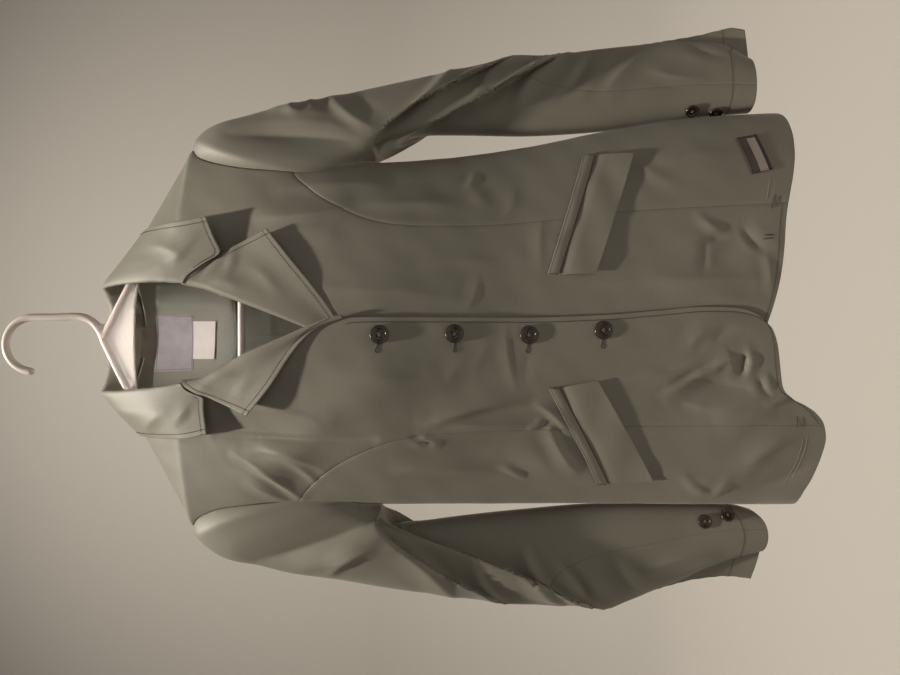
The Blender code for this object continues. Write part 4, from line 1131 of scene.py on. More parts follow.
def neck_edge(station):
    """Point of the neck's edge beside a station of the collar."""
    nearness = np.abs(station - COLLAR_STATIONS / 2) - 2
    down = mix(NECK_POINT, COLLAR_END, np.clip(nearness / 2, 0, 1))
    right = station < COLLAR_STATIONS / 2
    front_x = np.where(right, FRONT_EDGE.read("right", down), FRONT_EDGE.read("left", down))
    back_s = mix(-1.0, -3.0, np.clip((station - 2) / 4, 0, 1))
    front = body_point(around(front_x, down), down, -WALL / 2)
    back = body_point(back_s, neck_down(back_s), -WALL / 2)
    return np.where((nearness > 0)[:, None], front, back)

# %% [markdown]
# ## The collar as cloth
#
# Rows of points go up the stand, over the fold and down the fall. Smooth curves
# through them make one grid, which is then thickened to both sides.

# %% Sew the collar
COLLAR_STITCH = 5.0
COLLAR_ROWS, COLLAR_COLUMNS = 150, 70
GORGE_REACH = 2.4
GORGE_ROWS = 9.0
COLLAR_CREASES = Table(CREASE_COLUMNS, [
    (-84, 150, -66, 176, 2, 8, 0.2, 1.4),
    (-72, 190, -56, 204, -1, 6, 0.2, 1.4),
    (96, 160, 84, 196, 2, 8, 0, 1.4),
    (78, 188, 104, 214, 2, 7, 0.3, 1.3),
])


def bent(points, station_count, across_count):
    """Smooth curves through rows of points, along both ways of the grid."""
    for axis, count in ((0, station_count), (1, across_count)):
        grid = np.swapaxes(points, 0, axis)
        knots = np.arange(len(grid), dtype=float)
        flat = grid.reshape(len(grid), -1)
        curve = Table("at " + " ".join(f"v{n}" for n in range(flat.shape[1])), np.column_stack([knots, flat]))
        at = np.linspace(0, len(grid) - 1, count)
        made = np.stack([curve.read(name, at) for name in curve.names[1:]], -1)
        points = np.swapaxes(made.reshape((count,) + grid.shape[1:]), 0, axis)
    return points


def sew_collar():
    """Stand and fall of the collar in one piece."""
    stations = np.linspace(0, COLLAR_STATIONS, 25)
    read = {name: COLLAR.read(name, stations) for name in COLLAR.names[1:]}
    fold, fall, edge = (np.stack([read[part + "_x"], read[part + "_y"], -read[part + "_down"]], axis=-1)
                        for part in ("fold", "fall", "edge"))
    seam = neck_edge(stations)
    level = np.array([1.0, 1.0, 0.0])
    seam = seam + unit((NECK_MIDDLE - seam) * level) * (WALL + SEAM_GAP) + np.array([0, 0, 0.8])
    outward = unit((fall - fold) * level)
    below = unit(mix(seam, fall, 0.5) - fold) * COLLAR_FOLD
    inner_side = fold - outward * COLLAR_FOLD + below * 1.6
    outer_side = fold + outward * COLLAR_FOLD + below * 1.6
    points = np.stack([seam, mix(seam, inner_side, 0.5), inner_side, mix(inner_side, fold, 0.6) - below * 0.25,
                       fold, mix(outer_side, fold, 0.6) - below * 0.25, outer_side,
                       mix(outer_side, fall, 0.5), fall, mix(fall, edge, 0.5), edge], axis=1)
    middle = bent(points, COLLAR_ROWS, COLLAR_COLUMNS)
    from_end = np.minimum(np.arange(COLLAR_ROWS), np.arange(COLLAR_ROWS)[::-1])
    across = np.linspace(0, 1, COLLAR_COLUMNS)
    reach = ease(1 - from_end / GORGE_ROWS)[:, None] * (ease((across - 0.3) / 0.1) * ease((0.86 - across) / 0.1))[None]
    middle = middle + np.array([0.0, 0.0, -GORGE_REACH]) * reach[..., None]
    middle = refined(middle, as_points, 1, edge_lines(NO_STITCH), edge_lines(COLLAR_STITCH), 2.6)
    middle = refined(middle, as_points, 0, edge_lines(COLLAR_STITCH), edge_lines(COLLAR_STITCH), 2.8)
    outer_face, inner_face = thicken(middle, WALL)
    if (outer_face - inner_face)[len(middle) // 2, -9, 1] < 0:
        outer_face, inner_face = inner_face, outer_face

    out = unit(outer_face - inner_face) * crease_rise(middle, COLLAR_CREASES)[..., None]
    sew("cloth_collar", outer_face + out, inner_face + out,
        [("right", COLLAR_STITCH, 0, 400), ("top", COLLAR_STITCH, 205, 400), ("bottom", COLLAR_STITCH, 205, 400)],
        ("left",))


sew_collar()
print("collar, faces:", faces_in("cloth_collar"))

# %% [markdown]
# ## Sleeves
#
# A tailored sleeve has an upper and an under piece. The arms hang bent, so the cloth
# breaks into folds at the elbow, and the rings close up there. Each sleeve has its own
# creases, since no two folds of cloth are alike.

# %% Rings of the sleeves
ARMHOLE_GAP = -0.3
SLEEVE_SEAM_GAP = -0.5
# Rings of each sleeve from the armhole to the cuff: outer point, middle of the
# front line, inner point, then how far its front and back stand from the hanger's plane.
RING_COLUMNS = "ring outer_x outer_down mid_x mid_down inner_x inner_down front back"
RINGS = {
    "right": Table(RING_COLUMNS, [
        (0, -185, 187, -152, 283, -159.9, 378.0, -36, 31),
        (1, -193, 191, -156, 289, -160.9, 378.3, -36, 31),
        (2, -205, 204, -160, 296, -161.4, 378.7, -36.5, 31),
        (3, -215, 221, -165, 305, -162.0, 379.1, -37, 32),
        (4, -223, 257, -171, 321, -162.7, 379.4, -38, 33),
        (5, -231, 304, -178, 341, -163.5, 379.7, -39, 34),
        (6, -240, 357, -186, 364, -164.5, 380.0, -40, 35),
        (7, -250, 428, -190, 384, -165.7, 380.3, -41, 34),
        (8, -260, 510, -195, 402, -167.0, 380.7, -41, 33),
        (9, -260.3, 511.5, -202, 398, -167.8, 381.0, -31, 33),
        (10, -260.8, 514, -199, 402, -170.3, 381.3, -27, 33),
        (11, -264, 548, -202, 429, -173.3, 381.9, -30, 32),
        (12, -267, 578, -207, 460, -177.3, 382.8, -32, 32),
        (13, -270, 598, -212, 491, -182.5, 384.3, -33, 31),
        (14, -271, 600, -221, 488, -183.5, 386.0, -20, 30),
        (15, -272, 603, -220, 491, -184.4, 389.0, -10, 29),
        (16, -273, 607, -216, 510, -182.3, 415, -9, 28),
        (17, -272, 610, -213, 536, -176, 466, -9, 27),
        (18, -271, 614, -213, 566, -169.7, 525, -9, 26),
        (19, -268, 620, -210, 601, -164.2, 592, -9, 25),
        (20, -261, 638, -207, 636, -163.4, 642, -9, 25),
        (21, -250, 668, -202, 672, -163.4, 685, -9, 24),
        (22, -241, 704, -197, 705, -163.6, 713, -10, 23),
        (23, -238, 732, -194, 733, -164.2, 736, -11, 22),
        (24, -240, 756, -195, 767, -168.5, 755, -12, 20),
    ]),
    "left": Table(RING_COLUMNS, [
        (0, 198, 187, 167, 281, 182.4, 373.0, -41, 35),
        (1, 205, 191, 172, 288, 183.4, 373.4, -41, 35),
        (2, 215, 202, 178, 295, 183.9, 373.8, -41, 34.5),
        (3, 222, 216, 183, 304, 184.5, 374.2, -41, 34),
        (4, 231, 250, 190, 321, 185.1, 374.5, -41, 34),
        (5, 241, 296, 197, 340, 185.8, 374.8, -41, 34),
        (6, 252, 347, 203, 360, 186.5, 375.1, -41, 35),
        (7, 267, 418, 211, 381, 187.2, 375.4, -41, 34),
        (8, 289, 518, 222, 402, 188.0, 375.8, -41, 33),
        (9, 290, 520, 229, 398, 188.9, 376.3, -31, 33),
        (10, 291, 523, 227, 402, 191.3, 377.0, -27, 33),
        (11, 293, 540, 227, 419, 194.3, 379.0, -30, 32),
        (12, 295, 553, 229, 438, 198.8, 383.0, -32, 32),
        (13, 297, 563, 235, 471, 204.1, 394.0, -33, 31),
        (14, 298, 565, 245, 469, 206.7, 396.6, -20, 30),
        (15, 299, 567.5, 243, 472, 209.7, 400.5, -10, 29),
        (16, 300, 571, 249, 490, 215.0, 418, -9, 28),
        (17, 300, 576, 252, 514, 215.8, 458, -9, 27),
        (18, 301, 585, 253, 549, 214.6, 520, -9, 26),
        (19, 303, 602, 255, 599, 218.6, 596, -9, 25),
        (20, 307, 634, 260, 635, 224.5, 640, -9, 25),
        (21, 312, 668, 265, 669, 229.5, 673, -9, 24),
        (22, 318, 705, 269, 702, 233.2, 705, -10, 23),
        (23, 325, 737, 272, 730, 235.6, 732, -11, 22),
        (24, 322, 750, 273, 755, 236.8, 754, -12, 20),
    ]),
}
LAST_RING = 24.0
FOLDS_START, FOLDS_END = 8.0, 17.0
FOLD_FADE = 0.12
# Place of the two sleeve seams round the sleeve, in turns from its outer line
# towards the front, and how far the front layer's outer edge lies inside the back layer's.
SEAMS = Table("ring under_start under_end lap", [
    (0, 0.39, 0.83, 0.0),
    (7, 0.39, 0.94, 0.0),
    (10, 0.39, 1.02, 0.0),
    (13, 0.40, 1.12, 0.0),
    (15, 0.44, 1.16, 0.0),
    (16, 0.50, 1.18, 0.0),
    (17, 0.58, 1.20, 0.0),
    (19, 0.74, 1.25, 0.0),
    (21, 0.81, 1.27, 0.02),
    (22, 0.83, 1.28, 0.08),
    (23, 0.84, 1.29, 0.18),
    (24, 0.85, 1.30, 0.30),
])

# %% [markdown]
# ## Points of a sleeve
#
# Between the rings the sleeve is a soft tube, flat in front and behind, fullest in the
# middle. Its first ring is the armhole's own seam, so that no gap opens there.

# %% Points of a sleeve
def armhole_point(side, turn):
    """Point of the armhole's seam: turn is 0 at the shoulder, 0.25 in front, 0.5 under the arm."""
    turn = np.asarray(turn, float) % 1.0
    share = (1 - np.cos(turn * 2 * math.pi)) / 2
    down = mix(SHOULDER_TIP, UNDERARM[side], share)
    x = ARMHOLE.read(side, down)
    s = around(x, down)
    back = (-2 - s) if side == "right" else (2 - s)
    return body_point(np.where(turn > 0.5, back, s), down)


def smooth_depths(table, ring, outer_down):
    """Front and back of a sleeve along its outer line, with no step at the elbow's folds."""
    top, foot = table.read("outer_down", FOLDS_START), table.read("outer_down", FOLDS_END)
    share = np.clip((outer_down - top) / (foot - top), 0, 1)
    inside = (ring > FOLDS_START) & (ring < FOLDS_END)
    return [np.where(inside, mix(table.read(name, FOLDS_START), table.read(name, FOLDS_END), share),
                     table.read(name, ring)) for name in ("front", "back")]


def sleeve_point(side, ring, turn):
    """Point of a sleeve's outer surface."""
    ring, turn = np.broadcast_arrays(np.asarray(ring, float), np.asarray(turn, float))
    table = RINGS[side]
    turn = turn % 1.0
    read = {name: table.read(name, ring) for name in RING_COLUMNS.split()[1:]}
    lap = SEAMS.read("lap", ring)
    is_front = turn <= 0.5
    share = (1 - np.cos(turn * 2 * math.pi)) / 2
    outer = np.stack([read["outer_x"], -read["outer_down"]], -1)
    inner = np.stack([read["inner_x"], -read["inner_down"]], -1)
    bend = np.stack([read["mid_x"], -read["mid_down"]], -1)
    straight = (outer + inner) / 2
    held = ease(1 - ring / 9)[..., None]
    middle = np.where(is_front[..., None], bend, mix(straight, bend, held))
    handle = 2 * middle - straight
    c = share[..., None]
    place = (1 - c) ** 2 * outer + 2 * c * (1 - c) * handle + c * c * inner
    front, back = smooth_depths(table, ring, read["outer_down"])
    centre = (front + back) / 2 * ease(ring / 3)
    front = mix(front, read["front"], ease(share / FOLD_FADE))
    cover = np.clip((share - lap) / (1 - lap), 0, 1)
    fullness = (1 - np.abs(2 * cover - 1) ** 2.4) ** (1 / 2.4)
    back_fullness = (1 - np.abs(2 * share - 1) ** 2.4) ** (1 / 2.4)
    y = np.where(is_front, mix(centre, front, fullness), mix(centre, read["back"], back_fullness))
    points = np.stack([place[..., 0], y, place[..., 1]], axis=-1)
    start = armhole_point(side, turn) + np.array([SIDE[side] * ARMHOLE_GAP, 0, 0])
    return mix(start, points, ease(ring)[..., None])


def sleeve_seam(side, rings, seam, gap):
    """Turn of a sleeve seam at each ring, moved off the seam by a distance in millimetres."""
    turn = SEAMS.read(seam, rings)
    step = 0.002
    around_it = (sleeve_point(side, rings, turn + step) - sleeve_point(side, rings, turn - step)) / (2 * step)
    line = unit(np.gradient(sleeve_point(side, rings, turn), axis=0))
    across = np.linalg.norm(np.cross(line, around_it), axis=-1)
    reach = np.linalg.norm(around_it, axis=-1)
    return turn + gap / np.maximum(across, 0.3 * reach)

# %% [markdown]
# ## The sleeves as cloth
#
# The creases lie where the arm is bent and where the cloth rests on itself. Upper and
# under piece are sewn apart, each with its own side of the two seams.

# %% Sew the sleeves
SLEEVE_CREASES = {
    "right": Table(CREASE_COLUMNS, [
        (-214, 258, -166, 380, -3, 13, 0.3, -6.5),
        (-226, 292, -196, 400, 4, 20, 0.2, 5.0),
        (-224, 330, -196, 372, 4, 8, 0.3, 4.0),
        (-250, 452, -196, 398, -5, 9, 0.3, 4.3),
        (-258, 500, -212, 470, 4, 6, 0.4, 2.9),
        (-262, 560, -206, 520, 5, 8, 0.2, 4.0),
        (-262, 590, -220, 560, -3, 7, 0.2, -2.9),
        (-250, 640, -214, 612, 3, 9, 0.2, 2.5),
        (-226, 650, -212, 710, 3, 8, 0.2, 2.3),
        (-240, 690, -226, 726, 2, 6, 0, -1.8),
    ]),
    "left": Table(CREASE_COLUMNS, [
        (204, 236, 196, 350, 3, 11, -0.3, -5.5),
        (236, 268, 224, 330, -4, 20, 0.2, 4.4),
        (222, 300, 236, 292, 2, 5, 0.2, 2.6),
        (228, 316, 244, 310, 1, 4, 0.2, 2.2),
        (244, 330, 208, 372, -4, 8, 0.3, 4.0),
        (276, 452, 214, 398, 5, 9, 0.3, 4.0),
        (286, 508, 240, 470, -4, 6, 0.4, 2.9),
        (290, 552, 238, 512, -5, 8, 0.2, 4.0),
        (292, 590, 250, 560, 3, 7, 0.2, -2.9),
        (290, 640, 256, 606, -3, 9, 0.2, 2.5),
        (276, 650, 268, 700, -3, 8, 0.2, 2.2),
        (304, 690, 290, 724, -2, 6, 0, -1.8),
    ]),
}
CUFF_STITCH = 24.0


def sew_sleeves():
    """Upper and under sleeve of each side."""
    rings = np.concatenate([np.linspace(0, 1, 12)[:-1], np.arange(1, LAST_RING + 0.01, 0.125)])
    half_gap = SLEEVE_SEAM_GAP / 2
    for side, sign in SIDE.items():
        edges = {
            "upper": (sleeve_seam(side, rings, "under_end", half_gap) - 1,
                      sleeve_seam(side, rings, "under_start", -half_gap)),
            "under": (sleeve_seam(side, rings, "under_start", half_gap),
                      sleeve_seam(side, rings, "under_end", -half_gap)),
        }
        for piece, (start, end) in edges.items():
            turn = mix(start[:, None], end[:, None], np.linspace(0, 1, 48)[None])
            ring = np.broadcast_to(rings[:, None], turn.shape)
            grid = np.stack([ring, turn], -1)
            place = lambda g: sleeve_point(side, g[..., 0], g[..., 1])
            grid = refined(grid, place, 1, edge_lines(NO_STITCH), edge_lines(NO_STITCH))
            grid = refined(grid, place, 0, edge_lines(NO_STITCH), edge_lines(CUFF_STITCH), 3.0)
            ring, turn = grid[..., 0], grid[..., 1]
            outer = place(grid)
            around_it = sleeve_point(side, ring, turn + 0.01) - sleeve_point(side, ring, turn - 0.01)
            near, far = np.clip(ring - 0.15, 0, LAST_RING), np.clip(ring + 0.15, 0, LAST_RING)
            along = sleeve_point(side, far, turn) - sleeve_point(side, near, turn)
            out = unit(np.cross(around_it, along)) * sign
            rise = crease_rise(outer, SLEEVE_CREASES[side]) * ease(np.abs(out[..., 1]) * 2)
            rise = rise * ease((ring - 0.3) / 2)
            outer = outer + out * rise[..., None]
            sew(f"cloth_sleeve_{side}_{piece}", outer, outer - out * WALL, [("bottom", CUFF_STITCH, 0, 900)],
                ("left", "right", "top"))


sew_sleeves()
print("sleeve area, square metres:", round(sum(p["area"] for n, p in cut_pieces.items() if "sleeve_right" in n), 3))

# %% [markdown]
# ## Pockets
#
# Each hip pocket has a narrow welt, sewn in with a dark line of thread, and a flap that
# hangs from it. The flap is cut on a slant, and its lower edge waves a little.

# %% Sew the pockets
# Pockets: the welt's upper corners, and the flap's lower corners.
POCKETS = {
    "right": {"inner": (-39, 538), "outer": (-132, 588), "flap_inner": (-32, 584), "flap_outer": (-128, 641)},
    "left": {"inner": (65, 538), "outer": (180, 575), "flap_inner": (66, 583), "flap_outer": (180, 622)},
}
WELT_HEIGHT = 10.0
WELT_WALL = 1.2
FLAP_START = 10.6
FLAP_FLARE = 4.0


def patch(corners, lift, wall, side, face=around, columns=40, rows=12):
    """Outer and inner face of a small piece on the body between four corners, given as x and down."""
    a, b = np.linspace(0, 1, columns)[None, :, None], np.linspace(0, 1, rows)[:, None, None]
    top_left, top_right, low_left, low_right = (np.array(corner, float) for corner in corners)
    place = mix(mix(top_left, top_right, a), mix(low_left, low_right, a), b)
    height = np.broadcast_to(lift(a[..., 0], b[..., 0]), place.shape[:2])[..., None]
    grid = np.concatenate([place, height], -1)

    def points(values, under=0.0):
        s = face(values[..., 0], values[..., 1])
        rise = values[..., 2] + front_lift(side, s, values[..., 1]) - under
        return worn(s, values[..., 1], rise)

    grid = refined(grid, points, 1, edge_lines(NO_STITCH), edge_lines(NO_STITCH), 2.6)
    grid = refined(grid, points, 0, edge_lines(NO_STITCH), edge_lines(NO_STITCH), 2.6)
    return points(grid), points(grid, wall)


def sew_pockets():
    """Welt and flap of each hip pocket."""
    for side, pocket in POCKETS.items():
        inner, outer = np.array(pocket["inner"]), np.array(pocket["outer"])
        down = np.array([0, WELT_HEIGHT])
        wave = 2.0 if side == "right" else 2.6
        sew(f"cloth_pocket_welt_{side}", *patch((inner, outer, inner + down, outer + down),
            lambda a, b: WELT_WALL + 0.2 + 1.5 * np.sin(math.pi * (0.15 + 0.75 * b))
            + 0.5 * b * np.sin(a * math.pi * wave * 1.7 + 1.0), WELT_WALL, side),
            [("top", 0.9, 0, 900), ("left", 0.9, 0, 900), ("right", 0.9, 0, 900)])
        hang = np.array([0, FLAP_START + 0.5])
        sew(f"cloth_pocket_flap_{side}", *patch(
            (inner + hang, outer + hang, np.array(pocket["flap_inner"]), np.array(pocket["flap_outer"])),
            lambda a, b: 1.1 + 1.4 * ease(b * 4) + b * (0.3 * FLAP_FLARE + 0.7 * np.sin(a * math.pi * wave + 0.6))
            + 0.9 * np.sin(a * math.pi * (wave + 1.3) + b * 2.0) * np.sin(math.pi * b), WALL, side))


sew_pockets()
print("welts and flaps, faces:", faces_in("cloth_pocket"))

# %% [markdown]
# ## Rows in other threads
#
# The deep hems are held by two fine pale rows that show in part, the seams are
# finished inside with a ladder of stitches, and short bar tacks hold the corners.

# %% Pale rows and bar tacks
tack_thread, _ = new_material("bar_tack_thread", Base_Color=linear("#5c594c"), Roughness=0.6)
pale_thread, _ = new_material("pale_hem_thread", Base_Color=linear("#a8a291"), Roughness=0.5)
BAR_TACKS = Table("x0 down0 x1 down1", [
    (-76, 769.5, -66, 768), (-76, 775.5, -67, 774), (97.5, 736, 98.5, 745.5), (101, 737, 101.5, 745),
    (126, 744, 139, 748), (127, 748.5, 138, 752),
])


def inner_row(name, edge, inset, seen=1.0, low_x=-400.0, high_x=400.0, start=0.0, end=900.0):
    """A row on a sewn piece between two places across and two heights."""
    piece = cut_pieces[name]
    line, way = row_inside(piece["outer" if seen > 0 else "inner"], piece["out"] * seen, piece["away"], edge, inset)
    kept = (line[:, 0] >= low_x) & (line[:, 0] <= high_x) & (-line[:, 2] >= start) & (-line[:, 2] <= end)
    return line[kept] + way[kept] * 0.05, way[kept]


def sew_other_rows():
    """Pale hem rows, seam finish inside and bar tacks."""
    pale_rows = [
        inner_row("cloth_front_side_right", "bottom", 22.0, 1.0, -136, -86),
        inner_row("cloth_front_side_right", "bottom", 18.0, 1.0, -128, -84),
        inner_row("cloth_front_side_left", "bottom", 21.0, 1.0, 135, 158),
        inner_row("cloth_back_facing", "bottom", 6.0, -1.0),
    ]
    for side in SIDE:
        pale_rows += [inner_row(f"cloth_back_{side}", "left", inset, -1.0, start=215, end=790) for inset in (2.2, 5.2)]
    stitch_mesh("stitches_pale", pale_rows, pale_thread, radius=0.26, pitch=2.2, length=1.6)
    tacks = []
    for tack in BAR_TACKS.rows():
        x = np.linspace(tack["x0"], tack["x1"], 12)
        down = np.linspace(tack["down0"], tack["down1"], 12)
        s = around(x, down)
        tacks.append((worn(s, down, front_lift("right" if x[0] < 0 else "left", s, down) + 0.15),
                      normals(folded_body, s, down)))
    stitch_mesh("bar_tacks", tacks, tack_thread, radius=0.22, pitch=0.55, length=1.0, turned=True)


sew_other_rows()
print("pale rows and bar tacks, faces:", faces_in("stitches_pale"), faces_in("bar_tacks"))

# %% [markdown]
# ## Rods
#
# Button thread and the hanger are round rods along a line. A curve with a bevel would
# give them too. Plain points and faces can be joined with others in one mesh.

# %% Rods along a line
def tube(line, radius, sides):
    """Points and faces of a closed round rod along a line."""
    ahead = unit(np.gradient(line, axis=0))
    level = np.array([0.0, 1.0, 0.0]) if np.abs(ahead[:, 1]).max() < 0.9 else np.array([0.0, 0.0, 1.0])
    flat = unit(np.cross(ahead, level))
    deep = np.cross(flat, ahead)
    radius = np.broadcast_to(np.asarray(radius, float), len(line))
    angle = np.linspace(0, 2 * math.pi, sides, endpoint=False)[None, :, None]
    points = line[:, None] + (np.cos(angle) * flat[:, None] + np.sin(angle) * deep[:, None]) * radius[:, None, None]
    size = len(line) * sides
    faces = grid_faces(len(line), sides, closed=True).tolist()
    return points.reshape(-1, 3), faces + [list(range(sides))[::-1], list(range(size - sides, size))]


def rod_mesh(name, rods, material):
    """One mesh from several rods."""
    points, faces = [], []
    for made, corners in rods:
        faces += [[corner + len(points) for corner in face] for face in corners]
        points += made.tolist()
    return mesh_piece(name, points, faces, material)

# %% [markdown]
# ## Buttons
#
# The buttons are cast resin, turned with a raised rim and a dished middle, and four
# holes take the thread. A lathe profile with a Screw modifier would do for the rim, but
# the holes break its symmetry, so the face is a polar grid whose height is a function.
# Dark resin is glossy, and a faint cloud of brown runs in it.

# %% Cast resin
resin, resin_shader = new_material("cast_resin", Roughness=0.2, IOR=1.54, Coat_Weight=0.5, Coat_Roughness=0.08)
place = add_node(resin, "ShaderNodeTexCoord")["Object"]
cloud = add_node(resin, "ShaderNodeTexNoise", {"Vector": place, "Scale": 220.0, "Detail": 4.0})["Fac"]
shade = add_node(resin, "ShaderNodeMix", {"Factor": cloud, 6: linear("#1a1311"), 7: linear("#4a3931")},
                 data_type="RGBA")[2]
resin.node_tree.links.new(shade, resin_shader.inputs["Base Color"])
button_thread, _ = new_material("button_sewing_thread", Base_Color=linear("#6f6a60"), Roughness=0.5)

# %% Form of a button
BUTTON_PROFILE = Table("reach height", [
    (0, 0.50), (0.42, 0.47), (0.56, 0.52), (0.66, 0.80), (0.70, 0.86), (0.76, 0.84), (0.82, 0.97), (0.87, 1.0),
    (0.93, 0.93), (0.98, 0.70), (1.0, 0.45)])
BUTTON_UNDERSIDE = np.array([(1.0, 0.22), (0.93, 0.04), (0.82, 0.0), (0.02, 0.0)])
BUTTON_THINNER = 0.8
HOLE_AT = 0.2
HOLE_WIDTH = 0.095
HOLE_DEPTH = 0.34
BUTTON_TURNS = 72
STRAND_PLACES = (-0.36, 0.0, 0.36)
STRAND_RADIUS = 0.22


def button_frame(node):
    """Centre of a button's underside, its outward direction, radius and thickness, from its node."""
    points = np.array([node.matrix_world @ v.co for v in node.data.vertices]) / MM
    middle = (points.max(axis=0) + points.min(axis=0)) / 2
    out = np.linalg.svd(points - points.mean(axis=0))[2][2]
    out = out * -np.sign(out[1])
    height = (points - middle) @ out
    flat = (points - middle) - height[:, None] * out
    return middle + out * height.min(), out, float(np.linalg.norm(flat, axis=1).max()), float(np.ptp(height))


def button_form():
    """Places across and up a button and their heights, ring by ring from its middle over the rim to its underside."""
    reach = np.concatenate([np.linspace(0.02, 0.42, 20), np.linspace(0.46, 0.98, 16), [1.0]])
    height = np.concatenate([BUTTON_PROFILE.read("height", reach), BUTTON_UNDERSIDE[:, 1]])
    reach = np.concatenate([reach, BUTTON_UNDERSIDE[:, 0]])[:, None]
    turn = np.linspace(0, 2 * math.pi, BUTTON_TURNS, endpoint=False)
    a, b = reach * np.cos(turn), reach * np.sin(turn)
    height = np.repeat(height[:, None], BUTTON_TURNS, axis=1)
    for hole in ((HOLE_AT, HOLE_AT), (HOLE_AT, -HOLE_AT), (-HOLE_AT, HOLE_AT), (-HOLE_AT, -HOLE_AT)):
        away = np.hypot(a - hole[0], b - hole[1])
        height -= HOLE_DEPTH * (1 - ease((away / HOLE_WIDTH - 0.6) / 0.6))
    return a, b, height

# %% [markdown]
# ## Buttons in their places
#
# No two buttons sit at the same angle, since each was sewn on by hand.

# %% Turn and sew the buttons
def turned_button(name, spin):
    """A four-hole button in place of its node, with its crossed thread."""
    base, out, radius, thickness = button_frame(frame["nodes"][name])
    thickness *= BUTTON_THINNER
    side = unit(np.cross(out, np.array([0.0, 0.0, 1.0])))
    up = np.cross(side, out)
    across, upright = side * math.cos(spin) + up * math.sin(spin), up * math.cos(spin) - side * math.sin(spin)
    a, b, height = button_form()
    points = (base + (a[..., None] * across + b[..., None] * upright) * radius
              + height[..., None] * out * thickness).reshape(-1, 3)
    size = len(points)
    faces = grid_faces(size // BUTTON_TURNS, BUTTON_TURNS, closed=True)[:, [0, 3, 2, 1]].tolist()
    faces += [list(range(BUTTON_TURNS)), list(range(size - BUTTON_TURNS, size))[::-1]]
    piece = mesh_piece(name.replace("button", "turned_button"), points, faces, resin)
    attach(piece, "root")
    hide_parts(name)
    share = np.linspace(-1, 1, 9)[:, None]
    strands = []
    for number, way in enumerate(((across + upright) * 0.7071, (across - upright) * 0.7071)):
        arch = 0.60 + 0.16 * number + 0.10 * (1 - share ** 2) - 0.30 * np.abs(share) ** 6
        for place in STRAND_PLACES:
            line = (base + way * share * HOLE_AT * 1.414 * radius + np.cross(way, out) * place
                    + out * arch * thickness)
            strands.append(tube(line, STRAND_RADIUS, 6))
    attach(rod_mesh(name.replace("button", "button_thread"), strands, button_thread), "root")


BUTTON_SPIN = {"button_front_1": 0.3, "button_front_2": 1.1, "button_front_3": 0.1, "button_front_4": 0.7,
               "button_cuff_right_1": 0.2, "button_cuff_right_2": 0.9, "button_cuff_left_1": 0.5,
               "button_cuff_left_2": 1.3}
for name, spin in BUTTON_SPIN.items():
    turned_button(name, spin)
print("buttons:", len(BUTTON_SPIN))

# %% [markdown]
# ## Buttonholes
#
# Each front button has a keyhole buttonhole in the right front, worked with close
# stitches round a slit and a small eyelet. They are laid as short turned stitches along
# the outline of the keyhole, on the worn form of the cloth.

# %% Work the buttonholes
BUTTONHOLES = Table("number x down slant", [(1, -5.0, 381.4, 0.20), (2, -4.6, 452.2, 0.02), (3, -5.2, 519.6, 0.1),
                                            (4, -1.0, 588.4, 0.06)])
EYELET_RADIUS = 1.7
SLIT_HALF_WIDTH = 0.75
SLIT_LENGTH = 17.0
hole_thread, _ = new_material("buttonhole_twist", Base_Color=linear("#66614f"), Roughness=0.5)


def on_front(x, down, lift=0.0):
    """Points and outward directions on the right front."""
    s = around(x, down)
    lift = front_lift("right", s, down) + lift
    points = worn(s, down, lift)
    return points, normals(folded_body, s, down)


def work_buttonholes():
    """Close stitches round each slit and eyelet."""
    rows = []
    for hole in BUTTONHOLES.rows():
        turn = np.radians(np.linspace(335, 25, 26))
        eyelet = EYELET_RADIUS * np.stack([np.cos(turn), np.sin(turn)], -1)
        upper = np.stack([np.linspace(EYELET_RADIUS, SLIT_LENGTH, 20), np.full(20, SLIT_HALF_WIDTH)], -1)
        lower = upper * np.array([1.0, -1.0])
        outline = np.concatenate([lower[::-1], eyelet, upper])
        slope = np.array([[math.cos(hole["slant"]), math.sin(hole["slant"])],
                          [-math.sin(hole["slant"]), math.cos(hole["slant"])]])
        place = outline @ slope
        rows.append(on_front(hole["x"] + place[:, 0], hole["down"] + place[:, 1], 0.1))
    stitch_mesh("buttonhole_stitches", rows, hole_thread, radius=0.26, pitch=0.5, length=1.5, turned=True)


work_buttonholes()
print("buttonhole stitches, faces:", faces_in("buttonhole_stitches"))

# %% [markdown]
# ## Labels
#
# The neck label is a woven tape sewn down all round, and a satin tape with the washing
# notes is caught under its lower edge. A short loop of tape at the neck hangs the
# jacket on a peg. The real ones carry names, which are left off: these are bare.

# %% Label cloths
def tape_cloth(name, light, dark, pitch, rough):
    """A ribbed narrow tape."""
    material, shader = new_material(name, Roughness=rough, IOR=1.5, Sheen_Weight=0.2)
    grain = add_node(material, "ShaderNodeUVMap", uv_map="grain")["UV"]
    rib = add_node(material, "ShaderNodeTexWave", {"Vector": grain, "Scale": wave_scale(pitch)},
                   bands_direction="Y")["Fac"]
    stain = add_node(material, "ShaderNodeTexNoise", {"Vector": grain, "Scale": 90.0, "Detail": 3.0})["Fac"]
    tone = add_node(material, "ShaderNodeMath", {0: rib, 1: 0.35}, operation="MULTIPLY")[0]
    tone = add_node(material, "ShaderNodeMath", {0: tone, 1: stain}, operation="ADD")[0]
    shade = add_node(material, "ShaderNodeMix", {"Factor": tone, 6: linear(dark), 7: linear(light)},
                     data_type="RGBA")[2]
    bumped = add_node(material, "ShaderNodeBump", {"Strength": 0.3, "Distance": 0.0001, "Height": rib})["Normal"]
    material.node_tree.links.new(shade, shader.inputs["Base Color"])
    material.node_tree.links.new(bumped, shader.inputs["Normal"])
    return material


